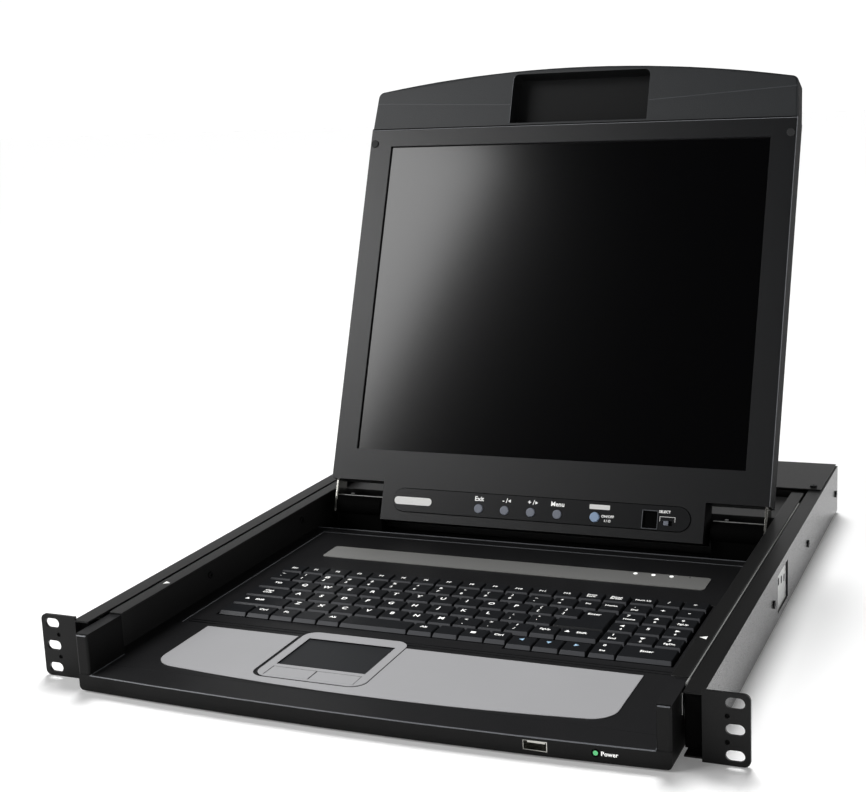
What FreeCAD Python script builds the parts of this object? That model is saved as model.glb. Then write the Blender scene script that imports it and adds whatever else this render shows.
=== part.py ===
"""Rackmount LCD console drawer: a folding screen and a keyboard on a sliding tray in a 1U frame.

Frame: millimetres, +X to the right, +Y to the rear, +Z up. The origin is the centre of the rack
screw pattern on the front face of the two rack ears. The drawer is pushed in and the screen is open.
"""
import FreeCAD
import Part
import Sketcher
import os
import re
from FreeCAD import Placement, Rotation, Vector

doc = FreeCAD.newDocument("ConsoleDrawer")
sheet = doc.addObject("Spreadsheet::Sheet", "Sizes")

SIZES = {
    # Rack ears: standard 19 inch width and 1U hole pattern.
    "ear_half_width": 241.3, "ear_half_height": 22.0, "ear_thickness": 2.0, "ear_corner": 4.0,
    "rack_half_spacing": 232.55, "rack_hole_pitch": 15.875, "slot_length": 11.0, "slot_height": 6.8,
    "pilot_reach": 228.0, "pilot_diameter": 3.0, "pilot_rise": 7.94,
    # Outer frame.
    "rail_half_width": 214.7, "rail_top": 19.8, "rail_bottom": -20.2, "rail_depth": 520.0,
    "rail_flange": 11.7, "steel": 1.2,
    "window_front": 232.0, "window_length": 40.0, "window_rise": 13.0, "window_drop": 15.0,
    "rear_box_front": 436.0, "rear_box_gap": 0.2, "cover_overhang": 2.0, "cover_inset": 1.7,
    # Ball slides: three nested members a side.
    "slide_thickness": 12.7, "slide_half_height": 17.5, "slide_steel": 1.2, "slide_clearance": 0.4,
    "slide_front": 14.0, "slide_length": 414.0, "middle_length": 390.0, "inner_length": 405.0,
    # Sliding tray.
    "tray_top": 19.6, "tray_bottom": -20.0, "tray_rear": 428.0, "tray_flange": 10.3,
    "post_rear": 22.0, "post_top": 18.05, "post_bottom": -21.0, "post_width": 9.3,
    "front_edge": -18.0, "front_bow": 6.5, "lip_top": -10.0, "lip_rear": 2.0, "lip_wall": 1.8,
    "deck_top": -10.0, "deck_thickness": 1.5, "deck_rear": 328.0, "deck_gap": 0.3,
    "rear_cover_front": 366.0, "rear_cover_top": 15.2,
    # Front socket and lamp.
    "usb_centre": 120.4, "usb_width": 15.1, "usb_height": 6.4, "usb_rise": -15.2, "usb_depth": 16.0,
    "usb_shell": 0.5, "lamp_centre": 156.6, "lamp_diameter": 3.0,
    # Palm plate, touchpad and indicator plate.
    "palm_half_width": 160.0, "palm_rear": 84.5, "palm_side_front": 13.0, "palm_front": 2.5,
    "palm_corner": 17.0, "plate_thickness": 0.6, "plate_gap": 0.3,
    "pad_centre": -47.2, "pad_frame_width": 78.6, "pad_front": 13.0, "pad_frame_depth": 81.0,
    "pad_corner": 10.0, "pad_width": 65.0, "pad_depth": 48.0, "pad_rear_rim": 12.0, "pad_sunk": 1.2,
    "click_front": 2.4, "click_depth": 14.5, "click_gap": 0.4, "click_travel": 0.6,
    "indicator_half_width": 157.0, "indicator_front": 253.0, "indicator_depth": 27.0,
    "indicator_corner": 3.0, "indicator_lamp_centre": 99.2, "indicator_lamp_pitch": 14.0,
    "indicator_lamp_diameter": 3.0, "indicator_lamp_inset": 4.0, "pinhole_centre": 141.0,
    "pinhole_diameter": 1.6,
    # Keyboard.
    "key_pitch": 19.05, "key_gap": 0.9, "key_top": -7.7, "key_height": 4.6, "key_travel": 2.2,
    "key_side_taper": 1.5, "key_front_taper": 2.6, "key_back_taper": 1.0, "function_depth": 17.0,
    "keys_half_width": 170.0, "keys_front": 110.0, "arrow_drop": 5.0, "key_well_margin": 1.0,
    "stem_size": 5.0, "stem_length": 3.6, "stem_clearance": 0.3, "key_base_thickness": 3.6,
    # Screen, measured up its own face from the bottom edge line.
    "screen_foot": 327.5, "screen_lean": 22.23, "screen_half_width": 189.0, "screen_bottom": 1.5,
    "screen_top": 350.6, "screen_thickness": 25.0, "screen_wall": 2.2, "bezel_depth": 9.0,
    "screen_corner": 3.0, "view_border": 20.6, "view_bottom": 60.9, "view_top": 334.1,
    "panel_margin": 4.0, "panel_thickness": 5.0,
    "vent_width": 4.0, "vent_pitch": 12.0, "vent_top": 30.0, "vent_length": 30.0,
    "notch_width": 50.0, "notch_top": 34.0, "pivot_rise": 12.87, "pivot_depth": 13.0,
    "barrel_radius": 8.0, "barrel_inset": 4.5, "barrel_gap": 4.0, "pin_radius": 3.0,
    "pin_clearance": 0.05, "pin_recess": 1.0, "arm_thickness": 2.0, "arm_half_width": 7.0,
    "arm_clearance": 0.1, "arm_top": 60.0, "arm_tab": 36.0,
    "grip_side_top": 385.4, "grip_top": 402.0, "grip_corner": 6.0, "grip_taper": 2.0, "grip_front": 1.0,
    "grip_thickness": 20.0, "recess_centre": 2.5, "recess_half_width": 61.0, "recess_top": 397.0,
    "recess_corner": 5.0,
    "recess_floor": 3.0, "bumper_inset": 4.5, "bumper_drop": 13.9, "bumper_diameter": 7.0,
    "bumper_height": 1.2,
    "strip_inset": 11.0, "strip_bottom": 9.5, "strip_top": 29.0, "strip_thickness": 1.0,
    "strip_lip": 1.0, "strip_clearance": 0.2,
    "button_diameter": 7.7, "button_rise": 16.2, "button_start": -49.9, "button_pitch": 22.8,
    "button_proud": 1.2, "button_travel": 0.5, "button_gap": 0.15, "button_length": 5.0,
    "power_centre": 50.3, "power_diameter": 8.2,
    "port_centre": 95.8, "port_width": 12.0, "port_rise": 17.5, "port_height": 14.0,
    "port_depth": 9.0, "port_wall": 1.2, "mode_centre": 109.8, "mode_rise": 15.5, "mode_width": 8.0,
    "mode_height": 4.0, "mode_travel": 2.0,
    "board_thickness": 1.6, "rib_half_width": 1.0, "rib_inset": 4.0,
    # Screws.
    "screw_diameter": 6.0, "screw_head": 1.4, "rail_screw_drop": 2.0, "rail_screw_front": 215.5,
    "rail_screw_middle": 360.0, "rail_screw_inset": 13.0, "cover_screw_inset": 8.0,
    "cover_screw_outer": 206.0, "cover_screw_inner": 70.0, "tray_screw_front": 150.0,
    "tray_screw_middle": 300.0, "tray_screw_rear": 380.0, "tray_screw_rise": 4.0,
    # Rear sockets and the board behind them.
    "socket_gap": 0.3, "socket_wall": 2.0, "flange_thickness": 1.5, "blade_pitch": 7.0,
    "blade_width": 2.0, "blade_height": 4.0,
    "inlet_centre": 150.0, "inlet_width": 28.0, "inlet_height": 20.0, "inlet_depth": 22.0,
    "rocker_centre": 118.0, "rocker_width": 13.0, "rocker_height": 19.0, "rocker_depth": 14.0,
    "paddle_width": 9.0, "paddle_half": 7.1,
    "video_centre": -40.0, "video_width": 16.0, "video_height": 8.0, "link_centre": -90.0,
    "link_width": 11.0, "link_height": 10.0, "port_reach": 5.0, "port_inside": 12.0, "port_flange": 6.0,
    "board_left": 120.0, "board_right": 100.0, "board_front_gap": 10.0, "board_rear_gap": 24.0,
    "board_rise": 5.0, "board_post": 5.0, "board_post_inset": 8.0,
}
for row, (name, size) in enumerate(SIZES.items(), start=1):
    sheet.set(f"A{row}", name)
    sheet.set(f"B{row}", str(size))
    sheet.setAlias(f"B{row}", name)
doc.recompute()

WORD = re.compile(r"[a-z][a-z_0-9]*")


def bound(text):
    """An expression in which every size is read from the sheet."""
    return WORD.sub(lambda word: f"Sizes.{word[0]}" if word[0] in SIZES else word[0], str(text))


def number(text):
    """The present value of an expression."""
    return float(sheet.evalExpression(bound(text)))


def put(item, x="0", y="0", z="0"):
    """Binds a piece's place to three expressions."""
    for axis, text in zip("xyz", (x, y, z)):
        item.setExpression(f"Placement.Base.{axis}", bound(text))
    return item


def box(label, x, y, z):
    """A block between pairs of low and high expressions."""
    block = doc.addObject("Part::Box", label)
    for size, (low, high) in zip(("Length", "Width", "Height"), (x, y, z)):
        block.setExpression(size, bound(f"({high}) - ({low})"))
    return put(block, x[0], y[0], z[0])


TURNS = {"x": Rotation(Vector(0, 1, 0), 90), "y": Rotation(Vector(1, 0, 0), -90), "z": Rotation()}


def rod(label, axis, radius, length, x, y, z):
    """A round rod that starts at a point and runs along an axis."""
    cylinder = doc.addObject("Part::Cylinder", label)
    cylinder.setExpression("Radius", bound(radius))
    cylinder.setExpression("Height", bound(length))
    cylinder.Placement = Placement(Vector(), TURNS[axis])
    return put(cylinder, x, y, z)


def fuse(label, *pieces):
    whole = doc.addObject("Part::MultiFuse", label)
    whole.Shapes = list(pieces)
    whole.Refine = True
    return whole


def cut(label, base, *tools):
    piece = doc.addObject("Part::Cut", label)
    piece.Base = base
    piece.Tool = tools[0] if len(tools) == 1 else fuse(label + "_tools", *tools)
    piece.Refine = True
    return piece


def group(label, *pieces):
    """Separate solids in one node."""
    compound = doc.addObject("Part::Compound", label)
    compound.Links = list(pieces)
    return compound


def across(side, near, far):
    """A span from near to far of the middle plane, on the left (-1) or on the right (1)."""
    return (near, far) if side > 0 else (f"-({far})", f"-({near})")


def at(side, reach):
    return reach if side > 0 else f"-({reach})"


def sketch_on(body, plane, label):
    drawing = body.newObject("Sketcher::SketchObject", label)
    origin = [item for item in body.Origin.OriginFeatures if item.Role == plane]
    drawing.AttachmentSupport = [(origin[0], "")]
    drawing.MapMode = "FlatFace"
    return drawing


def hold(drawing, kind, element, point, text):
    """Holds one point of the drawing at a distance from its origin."""
    limit = Sketcher.Constraint(kind, -1, 1, element, point, number(text))
    index = drawing.addConstraint(limit)
    drawing.setExpression(f"Constraints[{index}]", bound(text))


def outline(drawing, corners, bow=None):
    """A closed outline. bow names the side that is an arc, with its middle on the Y axis."""
    points = [Vector(number(a), number(b), 0) for a, b in corners]
    count = len(points)
    for index, start in enumerate(points):
        end = points[(index + 1) % count]
        if bow and bow[0] == index:
            middle = Vector(0, number(bow[1]), 0)
            drawing.addGeometry(Part.Arc(start, middle, end))
        else:
            drawing.addGeometry(Part.LineSegment(start, end))
    arc = bow[0] if bow else None
    # An arc is stored anticlockwise, so one that was drawn clockwise has its ends exchanged.
    turned = arc is not None and drawing.Geometry[arc].StartPoint.distanceToPoint(points[arc]) > 1e-6
    first = {index: 2 if turned and index == arc else 1 for index in range(count)}
    for index in range(count):
        following = (index + 1) % count
        drawing.addConstraint(
            Sketcher.Constraint("Coincident", index, 3 - first[index], following, first[following]))
        hold(drawing, "DistanceX", index, first[index], corners[index][0])
        hold(drawing, "DistanceY", index, first[index], corners[index][1])
    if bow:
        rise = f"({bow[1]}) - ({corners[arc][1]})"
        radius = f"({corners[arc][0]})^2 / (2 * abs({rise})) + abs({rise}) / 2"
        index = drawing.addConstraint(Sketcher.Constraint("Radius", arc, number(radius)))
        drawing.setExpression(f"Constraints[{index}]", bound(radius))


def padded(label, plane, corners, length, start="0", bow=None):
    """A plate or a sheet section: an outline on a plane, padded along +X, +Y or +Z from start."""
    body = doc.addObject("PartDesign::Body", label)
    drawing = sketch_on(body, plane, label + "_outline")
    outline(drawing, corners, bow)
    pad = body.newObject("PartDesign::Pad", label + "_pad")
    pad.Profile = drawing
    pad.setExpression("Length", bound(length))
    pad.Reversed = plane == "XZ_Plane"
    body.Tip = pad
    axis = {"XY_Plane": "z", "XZ_Plane": "y", "YZ_Plane": "x"}[plane]
    return put(body, **{axis: start})


def rounded(label, base, radius, chosen):
    """Fillets the edges of a piece that a test picks by their middle point and direction."""
    doc.recompute()
    fillet = doc.addObject("Part::Fillet", label)
    fillet.Base = base
    picked = []
    for index, edge in enumerate(base.Shape.Edges, start=1):
        middle = edge.valueAt((edge.FirstParameter + edge.LastParameter) / 2)
        way = edge.tangentAt(edge.FirstParameter)
        if chosen(middle, way):
            picked.append((index, number(radius), number(radius)))
    fillet.Edges = picked
    return fillet


def upright(way):
    return abs(way.z) > 0.99


SIDES = ((-1, "left"), (1, "right"))


# Outer frame ---------------------------------------------------------------------------------

def side_rail(side, name):
    """A channel of folded sheet with the rack ear turned out at its front."""
    label = f"side_rail_{name}"
    outer, inner = "rail_half_width", "rail_half_width - rail_flange"
    web = "rail_half_width - steel"
    section = [(inner, "rail_bottom"), (outer, "rail_bottom"), (outer, "rail_top"), (inner, "rail_top"),
               (inner, "rail_top - steel"), (web, "rail_top - steel"), (web, "rail_bottom + steel"),
               (inner, "rail_bottom + steel")]
    section = [(at(side, reach), rise) for reach, rise in section]
    channel = padded(label + "_channel", "XZ_Plane", section, "rail_depth")
    plate = box(label + "_plate", across(side, web, "ear_half_width"), ("0", "ear_thickness"),
                ("-ear_half_height", "ear_half_height"))
    ear = rounded(label + "_ear", plate, "min(ear_corner; (ear_half_width - rail_half_width) * 0.8)",
                  lambda middle, way: abs(way.y) > 0.99 and abs(middle.x) > number("ear_half_width") - 0.1)
    tools = [box(label + "_window", across(side, f"{web} - 1", f"{outer} + 1"),
                 ("window_front", "window_front + window_length"), ("-window_drop", "window_rise"))]
    for row in (-1, 0, 1):
        rise = f"{row} * rack_hole_pitch"
        reach = "(slot_length - slot_height) / 2"
        tools.append(box(f"{label}_slot_{row + 2}",
                         across(side, f"rack_half_spacing - {reach}", f"rack_half_spacing + {reach}"),
                         ("-1", "ear_thickness + 1"),
                         (f"{rise} - slot_height / 2", f"{rise} + slot_height / 2")))
        for end in (-1, 1):
            tools.append(rod(f"{label}_slot_end_{row + 2}_{end + 2}", "y", "slot_height / 2",
                             "ear_thickness + 2", at(side, f"rack_half_spacing + {end} * {reach}"),
                             "-1", rise))
    for end in (-1, 1):
        tools.append(rod(f"{label}_pilot_{end + 2}", "y", "pilot_diameter / 2", "ear_thickness + 2",
                         at(side, "pilot_reach"), "-1", f"{end} * pilot_rise"))
    return cut(label, fuse(label + "_folded", channel, ear), *tools)


REAR_WALLS = "rail_depth - steel"
FLOOR = "rail_bottom + steel"


def rear_housing():
    """The fixed box behind the tray: floor, front wall and back wall with the socket cut-outs."""
    side = "rail_half_width - steel - rear_box_gap"
    wide = (f"-({side})", side)
    top = "rail_top - steel"
    section = [("rear_box_front", FLOOR), ("rail_depth", FLOOR), ("rail_depth", top), (REAR_WALLS, top),
               (REAR_WALLS, f"{FLOOR} + steel"), ("rear_box_front + steel", f"{FLOOR} + steel"),
               ("rear_box_front + steel", top), ("rear_box_front", top)]
    shell = padded("rear_housing_shell", "YZ_Plane", section, f"2 * ({side})", wide[0])
    holes = [socket_hole("inlet_hole", "inlet_centre", "inlet_width", "inlet_height"),
             socket_hole("rocker_hole", "rocker_centre", "rocker_width", "rocker_height"),
             socket_hole("video_hole", "video_centre", "(video_width + 1)", "(video_height + 1)"),
             socket_hole("link_hole", "link_centre", "(link_width + 1)", "(link_height + 1)")]
    return cut("rear_housing", shell, *holes)


def socket_hole(label, centre, width, height):
    return box(label, (f"{centre} - {width} / 2", f"{centre} + {width} / 2"),
               ("rail_depth - 2 * steel", "rail_depth + 1"), (f"-{height} / 2", f"{height} / 2"))


def rear_housing_cover():
    reach = "rail_half_width - cover_inset"
    section = [("rear_box_front", "rail_top"), ("rail_depth + cover_overhang", "rail_top"),
               ("rail_depth + cover_overhang", "rail_top + steel"), ("rear_box_front", "rail_top + steel")]
    return padded("rear_housing_cover", "YZ_Plane", section, f"2 * ({reach})", f"-({reach})")


def slide_member(side, label, depth, reach, half_height, lead, length):
    """One C-section of a ball slide, open towards the tray (or towards the rail when depth < 0)."""
    steel = "slide_steel"
    low, high = sorted((depth, reach), key=number)
    web = ((f"{high} - {steel}", high) if depth == high else (low, f"{low} + {steel}"))
    open_end = low if depth == high else high
    inside = web[0] if depth == high else web[1]
    section = [(depth, f"-({half_height})"), (depth, half_height), (open_end, half_height),
               (open_end, f"{half_height} - {steel}"), (inside, f"{half_height} - {steel}"),
               (inside, f"{steel} - ({half_height})"), (open_end, f"{steel} - ({half_height})"),
               (open_end, f"-({half_height})")]
    section = [(at(side, far), rise) for far, rise in section]
    return padded(label, "XZ_Plane", section, length, lead)


SLIDE_WALL = "rail_half_width - steel"
TRAY_SIDE = "(rail_half_width - steel - slide_thickness)"
NEST = "(slide_steel + slide_clearance)"


def slides(side, name):
    lip = f"{TRAY_SIDE} + slide_steel + slide_clearance"
    outer = slide_member(side, f"slide_outer_{name}", SLIDE_WALL, lip, "slide_half_height",
                         "slide_front", "slide_length")
    middle = slide_member(side, f"slide_middle_{name}", f"{SLIDE_WALL} - {NEST}", lip,
                          f"slide_half_height - {NEST}", "slide_front", "middle_length")
    inner = slide_member(side, f"slide_inner_{name}", TRAY_SIDE, f"{SLIDE_WALL} - 2 * {NEST}",
                         f"slide_half_height - 2 * {NEST}", "slide_front", "inner_length")
    return outer, middle, inner


def screw_heads(label, places, axis):
    """Low twelve-sided screw heads on a face, each placed by its own three expressions."""
    heads = []
    for index, place in enumerate(places, start=1):
        head = doc.addObject("Part::Prism", f"{label}_{index}")
        head.Polygon = 12
        head.setExpression("Circumradius", bound("screw_diameter / 2"))
        head.setExpression("Height", bound("screw_head"))
        head.Placement = Placement(Vector(), TURNS[axis])
        heads.append(put(head, *place))
    return group(label, *heads)


def frame_screws():
    """Slide screws through the rails and the small screws of the rear cover."""
    places = []
    for start in ("rail_half_width", "-(rail_half_width + screw_head)"):
        for along in ("rail_screw_front", "rail_screw_middle", "rail_depth - rail_screw_inset"):
            places.append((start, along, "-rail_screw_drop"))
    rails = screw_heads("rail_screws", places, "x")
    rows = [(reach, "rear_box_front + cover_screw_inset", "rail_top + steel")
            for reach in ("-cover_screw_outer", "-cover_screw_inner", "cover_screw_inner", "cover_screw_outer")]
    return group("frame_screws", rails, screw_heads("cover_screws", rows, "z"))


def power_inlet():
    """A three-pin inlet: flanged body, open socket and three blades."""
    low, high, half = "inlet_centre - inlet_width / 2", "inlet_centre + inlet_width / 2", "inlet_height / 2"
    body = box("inlet_body", (f"{low} + socket_gap", f"{high} - socket_gap"),
               ("rail_depth - inlet_depth", "rail_depth"), (f"socket_gap - {half}", f"{half} - socket_gap"))
    flange = box("inlet_flange", (f"{low} - port_flange", f"{high} + socket_wall"),
                 ("rail_depth", "rail_depth + flange_thickness"),
                 (f"-{half} - socket_wall", f"{half} + socket_wall"))
    mouth = box("inlet_mouth", (f"{low} + socket_wall", f"{high} - socket_wall"),
                ("rail_depth - inlet_depth + 2 * socket_wall", "rail_depth + 2 * flange_thickness"),
                (f"socket_wall - {half}", f"{half} - socket_wall"))
    shell = cut("inlet_shell", fuse("inlet_solid", body, flange), mouth)
    blades = []
    for index, rise in ((-1, "-blade_height / 2"), (0, "blade_height / 2"), (1, "-blade_height / 2")):
        low = f"inlet_centre + {index} * blade_pitch - blade_width / 2"
        blades.append(box(f"inlet_blade_{index + 2}", (low, f"{low} + blade_width"),
                          ("rail_depth - inlet_depth + 2 * socket_wall", "rail_depth - socket_wall"),
                          (f"{rise} - blade_height / 2", f"{rise} + blade_height / 2")))
    return fuse("power_inlet", shell, *blades)


def rocker():
    """The mains rocker and the frame it tilts in."""
    low, high = "rocker_centre - rocker_width / 2", "rocker_centre + rocker_width / 2"
    half, wall = "rocker_height / 2", "flange_thickness"
    rim = box("rocker_rim", (f"{low} - flange_thickness", f"{high} + flange_thickness"),
              ("rail_depth", "rail_depth + flange_thickness"),
              (f"-{half} - flange_thickness", f"{half} + flange_thickness"))
    body = box("rocker_body", (f"{low} + socket_gap", f"{high} - socket_gap"),
               ("rail_depth - rocker_depth", "rail_depth"), (f"socket_gap - {half}", f"{half} - socket_gap"))
    well = box("rocker_well", (f"{low} + {wall}", f"{high} - {wall}"),
               ("rail_depth - rocker_depth + 2 * socket_wall", "rail_depth + 2 * flange_thickness"),
               (f"{wall} - {half}", f"{half} - {wall}"))
    frame = cut("power_switch_frame", fuse("rocker_solid", rim, body), well)
    section = [("rail_depth - 3.5", "-paddle_half"), ("rail_depth + 1.2", "-paddle_half"),
               ("rail_depth + 0.2", "0"), ("rail_depth + 2.8", "paddle_half"),
               ("rail_depth - 2", "paddle_half")]
    paddle = padded("power_switch", "YZ_Plane", section, "paddle_width", "rocker_centre - paddle_width / 2")
    return frame, paddle


def rear_ports():
    """The video and link connectors on the back wall, each a flanged open shell."""
    shells = []
    for name in ("video", "link"):
        low, high = f"{name}_centre - {name}_width / 2", f"{name}_centre + {name}_width / 2"
        height = f"{name}_height / 2"
        outer = box(f"{name}_shell", (low, high),
                    ("rail_depth - port_inside", "rail_depth + port_reach"), (f"-{height}", height))
        flange = box(f"{name}_flange", (f"{low} - port_flange", f"{high} + port_flange"),
                     ("rail_depth", "rail_depth + 1"), (f"-{height} - socket_wall", f"{height} + socket_wall"))
        mouth = box(f"{name}_mouth", (f"{low} + 1", f"{high} - 1"),
                    ("rail_depth - port_inside + 4", "rail_depth + port_reach + 1"),
                    (f"1 - {height}", f"{height} - 1"))
        shells.append(cut(f"{name}_port", fuse(f"{name}_solid", outer, flange), mouth))
    return group("rear_ports", *shells)


def switch_board():
    """The converter board on its square pillars inside the rear housing."""
    floor, front, rear = f"{FLOOR} + steel", "rear_box_front + board_front_gap", "rail_depth - board_rear_gap"
    board = box("board_plate", ("-board_left", "board_right"), (front, rear),
                (f"{floor} + board_rise", f"{floor} + board_rise + board_thickness"))
    posts = []
    for hand, x in (("left", "board_post_inset - board_left"),
                    ("right", "board_right - board_post_inset - board_post")):
        for end, y in (("front", f"{front} + board_post_inset"),
                       ("rear", f"{rear} - board_post_inset - board_post")):
            posts.append(box(f"board_post_{hand}_{end}", (x, f"{x} + board_post"), (y, f"{y} + board_post"),
                             (floor, f"{floor} + board_rise")))
    return fuse("switch_board", board, *posts)


# Sliding tray --------------------------------------------------------------------------------

TRAY_FLOOR = "(tray_bottom + steel)"
DECK_SIDE = f"({TRAY_SIDE} - steel - deck_gap)"
POST_INNER = f"({TRAY_SIDE} - post_width)"


def drawer_tray():
    """Folded tray: floor, side walls with their tops turned in, and a back wall."""
    side, lip = TRAY_SIDE, f"{TRAY_SIDE} - tray_flange"
    right = [(side, "tray_bottom"), (side, "tray_top"), (lip, "tray_top"), (lip, "tray_top - steel"),
             (f"{side} - steel", "tray_top - steel"), (f"{side} - steel", TRAY_FLOOR)]
    left = [(f"-({reach})", rise) for reach, rise in reversed(right)]
    channel = padded("tray_channel", "XZ_Plane", right + left, "tray_rear - post_rear", "post_rear")
    tongue = box("tray_tongue", (f"deck_gap - {POST_INNER}", f"{POST_INNER} - deck_gap"),
                 ("lip_rear", "post_rear"), ("tray_bottom", TRAY_FLOOR))
    back = box("tray_back", (f"-({side})", side), ("tray_rear - steel", "tray_rear"),
               ("tray_bottom", "rear_cover_top"))
    return fuse("drawer_tray", channel, tongue, back)


def front_panel():
    """Moulded front: a bowed hollow lip between two corner posts."""
    side = TRAY_SIDE
    corners = [(f"-({side})", "front_edge"), (side, "front_edge"), (side, "lip_rear"),
               (f"-({side})", "lip_rear")]
    lip = padded("front_lip", "XY_Plane", corners, "lip_top - post_bottom", "post_bottom",
                 bow=(0, "front_edge - front_bow"))
    posts = []
    for hand, name in SIDES:
        block = box(f"front_post_block_{name}", across(hand, POST_INNER, side),
                    ("front_edge", "post_rear"), ("post_bottom", "post_top"))
        posts.append(rounded(f"front_post_{name}", block, "lip_wall",
                             lambda middle, way: middle.y < number("front_edge") + 0.1))
    hollow = box("front_hollow", (f"lip_wall - {POST_INNER}", f"{POST_INNER} - lip_wall"),
                 ("front_edge + lip_wall", "lip_rear + 1"), ("post_bottom - 1", "lip_top - lip_wall"))
    socket = box("usb_hole", ("usb_centre - usb_width / 2", "usb_centre + usb_width / 2"),
                 ("front_edge - 2 * front_bow", "front_edge + 2 * lip_wall"),
                 ("usb_rise - usb_height / 2", "usb_rise + usb_height / 2"))
    lamp = rod("lamp_hole", "y", "lamp_diameter / 2", "2 * front_bow + 2 * lip_wall", "lamp_centre",
               "front_edge - 2 * front_bow", "usb_rise")
    return cut("front_panel", fuse("front_solid", lip, *posts), hollow, socket, lamp)


def front_face(centre):
    """Where the bowed front face lies at a given distance from the middle plane."""
    return f"(front_edge - front_bow * (1 - ({centre} / {TRAY_SIDE})^2))"


def usb_socket():
    """A folded steel shell round a plastic tongue."""
    low, high = "usb_centre - usb_width / 2", "usb_centre + usb_width / 2"
    face, drop, rise = front_face("usb_centre"), "usb_rise - usb_height / 2", "usb_rise + usb_height / 2"
    outer = box("usb_outer", (low, high), (f"{face} + 0.4", f"{face} + usb_depth"), (drop, rise))
    inner = box("usb_inner", (f"{low} + usb_shell", f"{high} - usb_shell"),
                (f"{face}", f"{face} + usb_depth - 1"), (f"{drop} + usb_shell", f"{rise} - usb_shell"))
    tongue = box("usb_tongue", (f"{low} + 2", f"{high} - 2"), (f"{face} + 3", f"{face} + usb_depth - 1"),
                 ("usb_rise + 0.4", f"usb_rise + 2"))
    return fuse("usb_socket", cut("usb_case", outer, inner), tongue)


def power_lamp():
    return rod("power_lamp", "y", "lamp_diameter / 2", "front_bow + lip_wall", "lamp_centre",
               front_face("lamp_centre"), "usb_rise")


KEYS_REAR = "(keys_front + 5 * key_pitch + function_depth)"
ARROWS_LEFT = "(11.8 * key_pitch - keys_half_width)"


def keyboard_deck():
    """The cover over the keyboard: a folded top with side skirts, a back skirt and its openings."""
    side, low = DECK_SIDE, TRAY_FLOOR
    sheet_low = "deck_top - deck_thickness"
    skirt = f"{side} - deck_thickness"
    right = [(side, low), (side, "deck_top")]
    left = [(f"-{side}", "deck_top"), (f"-{side}", low), (f"-({skirt})", low), (f"-({skirt})", sheet_low),
            (skirt, sheet_low), (skirt, low)]
    top = padded("deck_fold", "XZ_Plane", right + left, "deck_rear - post_rear", "post_rear")
    tongue = box("deck_tongue", (f"deck_gap - {POST_INNER}", f"{POST_INNER} - deck_gap"),
                 ("lip_rear", "post_rear"), (sheet_low, "deck_top"))
    back = box("deck_back", (f"-{side}", side), ("deck_rear - deck_thickness", "deck_rear"),
               (low, "deck_top"))
    edge = "key_well_margin"
    well = box("key_well", (f"-keys_half_width - {edge}", f"keys_half_width + {edge}"),
               (f"keys_front - {edge}", f"{KEYS_REAR} + {edge}"), ("deck_top - 5", "deck_top + 1"))
    arrows = box("arrow_well", (f"{ARROWS_LEFT} - {edge}", f"keys_half_width + {edge}"),
                 (f"keys_front - arrow_drop - {edge}", "keys_front"), ("deck_top - 5", "deck_top + 1"))
    clicks = box("click_well", ("pad_centre - pad_width / 2", "pad_centre + pad_width / 2"),
                 ("pad_front + click_front", "pad_front + click_front + click_depth"),
                 ("deck_top - 5", "deck_top + 1"))
    return cut("keyboard_deck", fuse("deck_solid", top, tongue, back), well, arrows, clicks)


def palm_rest_plate():
    """Thin trim plate with a bowed front edge, cut out round the touchpad."""
    side = "palm_half_width"
    corners = [(f"-{side}", "palm_side_front"), (side, "palm_side_front"), (side, "palm_rear"),
               (f"-{side}", "palm_rear")]
    plate = padded("palm_blank", "XY_Plane", corners, "plate_thickness", "deck_top",
                   bow=(0, "palm_front"))
    turned = rounded("palm_turned", plate, "palm_corner",
                     lambda middle, way: upright(way) and middle.y < number("palm_rear") - 1)
    hole = pad_blank("palm_pad_hole", "plate_gap", "plate_thickness + 2", "deck_top - 1")
    return cut("palm_rest_plate", turned, hole)


def pad_blank(label, grow, height, start):
    """The rounded outline of the touchpad frame, grown by a margin."""
    block = box(label + "_block",
                (f"pad_centre - pad_frame_width / 2 - {grow}", f"pad_centre + pad_frame_width / 2 + {grow}"),
                (f"pad_front - {grow}", f"pad_front + pad_frame_depth + {grow}"),
                (start, f"{start} + {height}"))
    return rounded(label, block, f"pad_corner + {grow}", lambda middle, way: upright(way))


PAD_LEFT, PAD_RIGHT = "pad_centre - pad_width / 2", "pad_centre + pad_width / 2"
PAD_REAR = "(pad_front + pad_frame_depth - pad_rear_rim)"
CLICK_REAR = "(pad_front + click_front + click_depth)"


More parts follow.
